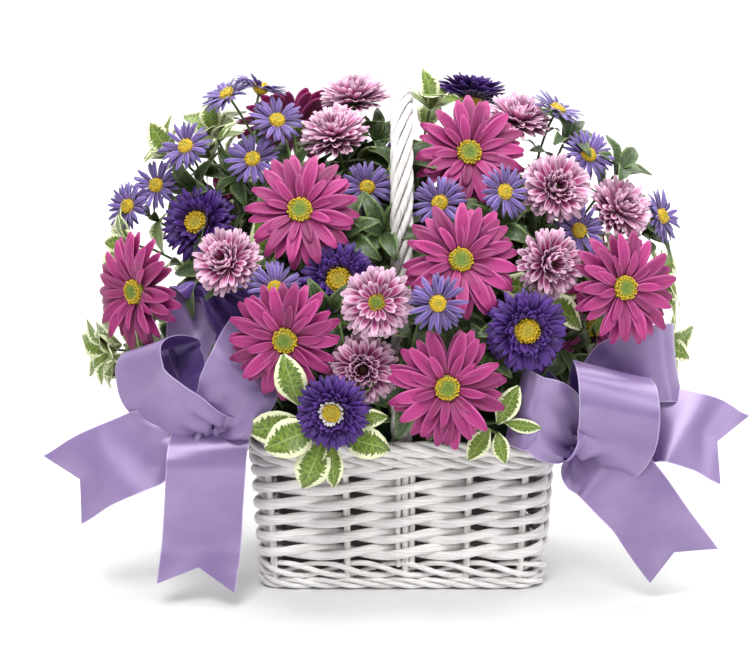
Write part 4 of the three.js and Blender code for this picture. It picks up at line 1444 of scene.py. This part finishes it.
# Each length of ribbon: the depth of its swallowtail, then its stations from the knot out. A station is
# its middle, the way its width runs and the share of its width that it shows. The rest is in pleats.
BOWS = {
    "left": {
        "knot": (-124, -92, 120),
        "pick_end": (-70, -30, 80),
        "ribbons": {
            "loop_front": (
                0,
                ((-126, -105, 122), (-0.63, 0.6, -0.45), 0.75),
                ((-137, -107, 127), (-0.66, 0.5, -0.5), 0.9),
                ((-153, -106, 136), (-0.68, 0.5, -0.5), 1),
                ((-168, -101, 148), (-0.68, 0.56, -0.45), 1),
                ((-173, -92, 163), (-0.64, 0.65, -0.4), 1),
                ((-170, -83, 171), (-0.63, 0.67, -0.38), 1),
                ((-161, -74, 172), (-0.63, 0.67, -0.38), 1),
                ((-151, -64, 166), (-0.63, 0.67, -0.38), 1),
                ((-149, -67, 156), (-0.66, 0.65, -0.35), 1),
                ((-145, -77, 143), (-0.68, 0.62, -0.35), 1),
                ((-134, -88, 130), (-0.65, 0.65, -0.38), 0.6),
            ),
            "loop_inner": (
                0,
                ((-117, -108, 127), (0.68, 0, -0.73), 0.75),
                ((-110, -109, 140), (0.68, 0, -0.73), 0.88),
                ((-103, -106, 156), (0.68, 0, -0.73), 1),
                ((-97, -97, 168), (0.68, 0, -0.73), 1),
                ((-94, -88, 172), (0.68, 0, -0.73), 1),
                ((-97, -79, 166), (0.68, 0, -0.73), 1),
                ((-106, -77, 148), (0.68, 0, -0.73), 0.8),
                ((-117, -87, 128), (0.68, 0, -0.73), 0.35),
            ),
            "loop_back": (
                0,
                ((-125, -82, 130), (1, 0, 0), 0.35),
                ((-132, -62, 158), (1, 0, 0), 0.8),
                ((-131, -50, 184), (1, 0, 0.05), 1),
                ((-130, -45, 203), (1, 0, 0.2), 1),
                ((-130, -47, 210), (0.9, 0, 0.45), 0.8),
                ((-126, -53, 208), (0.8, 0, 0.6), 0.5),
                ((-118, -60, 197), (0.72, 0, 0.69), 0.6),
                ((-106, -62, 186), (0.7, 0, 0.7), 0.85),
                ((-99, -65, 170), (0.7, 0, 0.7), 0.9),
                ((-106, -74, 148), (0.8, 0, 0.6), 0.6),
                ((-118, -83, 130), (1, 0, 0.2), 0.35),
            ),
            "tail_out": (
                15,
                ((-133, -92, 114), (0.5, -0.3, -0.8), 0.5),
                ((-156, -98, 111), (0.5, -0.3, -0.8), 0.8),
                ((-175, -101, 104), (0.5, -0.3, -0.8), 1),
                ((-198, -101, 94), (0.5, -0.3, -0.8), 1),
                ((-212, -98, 85), (0.5, -0.3, -0.8), 1),
            ),
            "tail_down": (
                14,
                ((-125, -99, 115), (1, 0, 0), 0.92),
                ((-127, -106, 105), (1, 0, 0), 0.95),
                ((-128, -111, 92), (1, 0, 0.02), 1),
                ((-130, -109, 67), (1, 0, 0.04), 1),
                ((-132, -105, 44), (1, 0, 0.05), 1),
                ((-134, -109, 28), (1, 0, 0.06), 1),
            ),
        },
    },
    "right": {
        "knot": (117, -90, 108),
        "pick_end": (68, -30, 80),
        "ribbons": {
            "loop_inner": (
                0,
                ((111, -101, 111), (-0.18, 0, -0.98), 0.6),
                ((104, -108, 119), (-0.18, 0, -0.98), 0.84),
                ((95, -114, 130), (-0.18, 0, -0.98), 0.92),
                ((84, -117, 134), (-0.18, 0, -0.98), 0.92),
                ((76, -110, 137), (-0.18, 0, -0.98), 0.96),
                ((74, -98, 138), (-0.18, 0, -0.98), 1),
                ((80, -88, 135), (-0.18, 0, -0.98), 1),
                ((96, -84, 126), (-0.18, 0, -0.98), 0.75),
                ((110, -87, 112), (-0.18, 0, -0.98), 0.35),
            ),
            "loop_middle": (
                0,
                ((122, -104, 101), (0.98, 0, -0.2), 0.68),
                ((131, -111, 104), (0.98, 0, -0.2), 0.92),
                ((138, -115, 113), (0.98, 0, -0.2), 1),
                ((140, -121, 126), (0.98, 0, -0.2), 1),
                ((140, -122, 140), (0.98, 0, -0.2), 1),
                ((139, -114, 153), (0.98, 0, -0.2), 1),
                ((137, -100, 159), (0.98, 0, -0.2), 1),
                ((136, -88, 156), (0.98, 0, -0.2), 0.9),
                ((132, -80, 142), (0.98, 0, -0.2), 0.8),
                ((124, -84, 116), (0.98, 0, -0.2), 0.35),
            ),
            "loop_outer": (
                0,
                ((126, -80, 116), (-0.12, 0, 1), 0.35),
                ((134, -76, 140), (-0.12, 0, 1), 0.7),
                ((147, -80, 152), (-0.12, 0, 1), 1),
                ((163, -84, 159), (-0.12, 0, 1), 1),
                ((175, -81, 160), (-0.12, 0, 1), 1),
                ((182, -70, 157), (-0.12, 0, 1), 1),
                ((178, -59, 153), (-0.12, 0, 1), 1),
                ((162, -55, 149), (-0.12, 0, 1), 1),
                ((142, -61, 136), (-0.12, 0, 1), 0.75),
                ((125, -73, 115), (-0.12, 0, 1), 0.35),
            ),
            "tail_out": (
                13,
                ((130, -84, 108), (-0.1, -0.5, -0.86), 0.4),
                ((150, -84, 115), (-0.1, -0.5, -0.86), 0.8),
                ((172, -88, 120), (-0.1, -0.5, -0.86), 1),
                ((195, -93, 116), (-0.1, -0.5, -0.86), 1),
                ((208, -94, 110), (-0.1, -0.5, -0.86), 1),
            ),
            "tail_down": (
                13,
                ((122, -95, 101), (0.88, -0.2, 0.4), 0.9),
                ((131, -100, 96), (0.88, -0.2, 0.4), 0.97),
                ((142, -106, 86), (0.88, -0.2, 0.4), 1),
                ((157, -110, 69), (0.88, -0.2, 0.4), 1),
                ((171, -107, 49), (0.88, -0.2, 0.4), 1),
                ((180, -103, 36), (0.88, -0.2, 0.4), 1),
            ),
        },
    },
}


def ribbon(name, notch, stations, pleat_depth, turned=False):
    """A satin ribbon through its stations, pleated where it's gathered. Gives it and its length."""
    middles = smooth_line([Vector(middle) * MM for middle, _, _ in stations], RIBBON_STEPS)
    wides = smooth_line([Vector(wide).normalized() for _, wide, _ in stations], RIBBON_STEPS)
    shares = [v.x for v in smooth_line([Vector((share, 0, 0)) for _, _, share in stations], RIBBON_STEPS)]
    rows = len(middles)
    travelled = length_along(middles)
    length = travelled[-1]
    half = RIBBON_WIDTH / 2 * MM
    shift = rng.uniform(0, 6)
    ripple_height, ripple_turn = TAIL_RIPPLE if notch else LOOP_RIPPLE
    centre = sum(middles, Vector()) / rows
    # The face satin turns out from a loop's middle, or towards the front on a tail; the deep back, painted
    # shade, turns in.
    facing_out = 0.0
    places, faces, uvs = [], [], []
    for i in range(rows):
        along = (middles[min(i + 1, rows - 1)] - middles[max(i - 1, 0)]).normalized()
        side = (wides[i] - wides[i].dot(along) * along).normalized()
        up = along.cross(side)
        facing_out += up.dot(Vector((0, -1, 0)) if notch else (middles[i] - centre).normalized())
        share = min(1.0, max(LEAST_SHARE, shares[i] * FULL_FROM))
        fold = pleat_depth * half * math.sqrt(2 * (1 - share * share)) / (PLEATS * math.pi)
        for j in range(RIBBON_COLUMNS + 1):
            across = 2 * j / RIBBON_COLUMNS - 1
            offset = fold * math.sin(PLEATS * math.pi * across + shift)
            turn = RIPPLE_SLANT * across + ripple_turn * travelled[i] + shift
            lift = up * (offset + ripple_height * math.sin(turn))
            tip = notch * MM * abs(across) * max(0.0, travelled[i] / length * 4 - 3)
            places.append(middles[i] + side * (half * share * across) + lift + along * tip)
            uvs.append((j / RIBBON_COLUMNS, travelled[i] / (2 * half)))
    wide = RIBBON_COLUMNS + 1
    for i in range(rows - 1):
        for j in range(RIBBON_COLUMNS):
            corner = i * wide + j
            face = (corner, corner + 1, corner + wide + 1, corner + wide)
            faces.append(face if (facing_out < 0) != turned else face[::-1])
    mesh = bpy.data.meshes.new(name)
    mesh.from_pydata(places, [], faces)
    layer = mesh.uv_layers.new(name="UVMap")
    for loop in mesh.loops:
        layer.data[loop.index].uv = uvs[loop.vertex_index]
    piece = link(name, mesh)
    mesh.materials.append(SATIN)
    # the deep back: painted shade inside the loops
    mesh.materials.append(SATIN_BACK_SHADE)
    apply_modifier(piece, "SOLIDIFY", thickness=RIBBON_THICK, offset=0, material_offset=1)
    activate(piece)
    bpy.ops.object.shade_smooth_by_angle(angle=RIBBON_CREASE)
    return piece, length


PICK_RADIUS = 1.8 * MM
PICK_BOW = (Vector((0, 10, 13)) * MM, Vector((0, 8, 12)) * MM)
WIRE_RADIUS = 1.2 * MM
COIL_RADIUS = 4.2
COIL_PITCH = 2
COIL_TURNS = 5
COIL_STEPS = 14  # points to a turn
WRAP_RADIUS = 8
WRAP_SHARE = 0.36
WRAP_STEPS = 8


def binding(side, knot, pick_end):
    """The wire wound round a bow's middle, the ribbon over it and the pick that holds it in the foam."""
    middle = Vector(knot) * MM
    end = Vector(pick_end) * MM
    bend, sag = PICK_BOW
    line = smooth_line([middle, middle + bend, middle.lerp(end, 0.5) + sag, end], 8)
    parts = [rod("pick_stick", line, [PICK_RADIUS] * len(line), PICK_WOOD, sides=8)]
    coil = []
    for i in range(COIL_TURNS * COIL_STEPS):
        angle = 2 * math.pi * i / COIL_STEPS
        across = (i / COIL_STEPS - COIL_TURNS / 2) * COIL_PITCH
        round_it = (COIL_RADIUS * math.cos(angle), COIL_RADIUS * math.sin(angle))
        coil.append(middle + Vector((across, *round_it)) * MM)
    parts.append(rod("binding_wire", coil, [WIRE_RADIUS] * len(coil), BINDING, sides=8))
    wrap = []
    x, y, z = knot
    for i in range(WRAP_STEPS + 1):
        angle = 2 * math.pi * i / WRAP_STEPS
        place = (x, y + WRAP_RADIUS * math.sin(angle), z + WRAP_RADIUS * math.cos(angle))
        wrap.append((place, (1, 0, 0), WRAP_SHARE))
    parts.append(ribbon("knot_wrap", 0, wrap, WRAP_PLEATS)[0])
    piece = join(side + "_bow_binding", parts)
    finish_piece(piece, "bow_binding", side + "_bow_pick")
    return piece


def gathered(stations, knot, both_ends):
    """The stations, with the ribbon's ends drawn in to the knot."""
    middle = Vector(knot)

    def drawn_in(station):
        first, wide, share = station
        return (middle + KNOT_RADIUS * (Vector(first) - middle).normalized(), wide, KNOT_SHARE)

    drawn = [drawn_in(stations[0])] + list(stations)
    return drawn + [drawn_in(stations[-1])] if both_ends else drawn


def add_bows():
    for side, bow in BOWS.items():
        held_by = binding(side, bow["knot"], bow["pick_end"])
        for name, (notch, *stations) in bow["ribbons"].items():
            drawn = gathered(stations, bow["knot"], not notch)
            turned = side + "_" + name in TURNED_FOR_SHADE
            pleats = TAIL_PLEATS if notch else LOOP_PLEATS
            piece, length = ribbon(side + "_satin_" + name, notch, drawn, pleats, turned)
            finish_piece(piece, "lilac_satin", side + "_bow_" + name)


add_bows()
remove(BLADES + DARK_BLADES)


# ---- floor and light -----------------------------------------------------------------------------
FLOOR_SIZE = 5
FLOOR_MIDDLE = (0, 0.6, 0)
FLOOR_COLOUR = (0.77, 0.77, 0.77, 1)
FLOOR_ROUGHNESS = 0.8
FLOWERS_MIDDLE = (0, 0, 0.15)
SEEN_WHITE = 1.05


def add_floor():
    bpy.ops.mesh.primitive_plane_add(size=FLOOR_SIZE, location=FLOOR_MIDDLE)
    floor = bpy.context.active_object
    floor.name = "floor"
    material, _, shader = new_material("pale_floor", FLOOR_ROUGHNESS)
    shader.inputs["Base Color"].default_value = FLOOR_COLOUR
    floor.data.materials.append(material)


def add_light(name, place, aim, size, power):
    """A soft rectangular light at a place, turned towards its aim."""
    lamp = bpy.data.lights.new(name, "AREA")
    lamp.shape = "RECTANGLE"
    lamp.size, lamp.size_y = size
    lamp.energy = power
    holder = bpy.data.objects.new(name, lamp)
    holder.location = place
    holder.rotation_euler = (Vector(aim) - Vector(place)).to_track_quat("-Z", "Y").to_euler()
    bpy.context.collection.objects.link(holder)


def add_surroundings(strength):
    """A white room: it lights the scene at its strength, and is plain white behind it."""
    world = bpy.data.worlds.new("white_studio")
    bpy.context.scene.world = world
    world.use_nodes = True
    tree = world.node_tree
    background = tree.nodes["Background"]
    background.inputs["Color"].default_value = (1, 1, 1, 1)
    seen = tree.nodes.new("ShaderNodeLightPath").outputs["Is Camera Ray"]
    level = maths(tree, "ADD", maths(tree, "MULTIPLY", seen, SEEN_WHITE - strength), strength)
    tree.links.new(level, background.inputs["Strength"])


add_floor()
add_light("key", (-0.3, -1.2, 1.6), FLOWERS_MIDDLE, (0.6, 0.6), 21)
add_light("top", (0.1, -0.2, 1.9), (0, -0.1, 0), (0.8, 0.8), 17)
add_light("fill", (1.5, -0.9, 0.9), FLOWERS_MIDDLE, (0.8, 0.8), 10)
add_light("floor_wash", (0, 1.6, 2.2), (0, 1.7, 0), (4.0, 2.4), 110)
add_surroundings(0.46)
bpy.context.scene.view_settings.view_transform = "Standard"
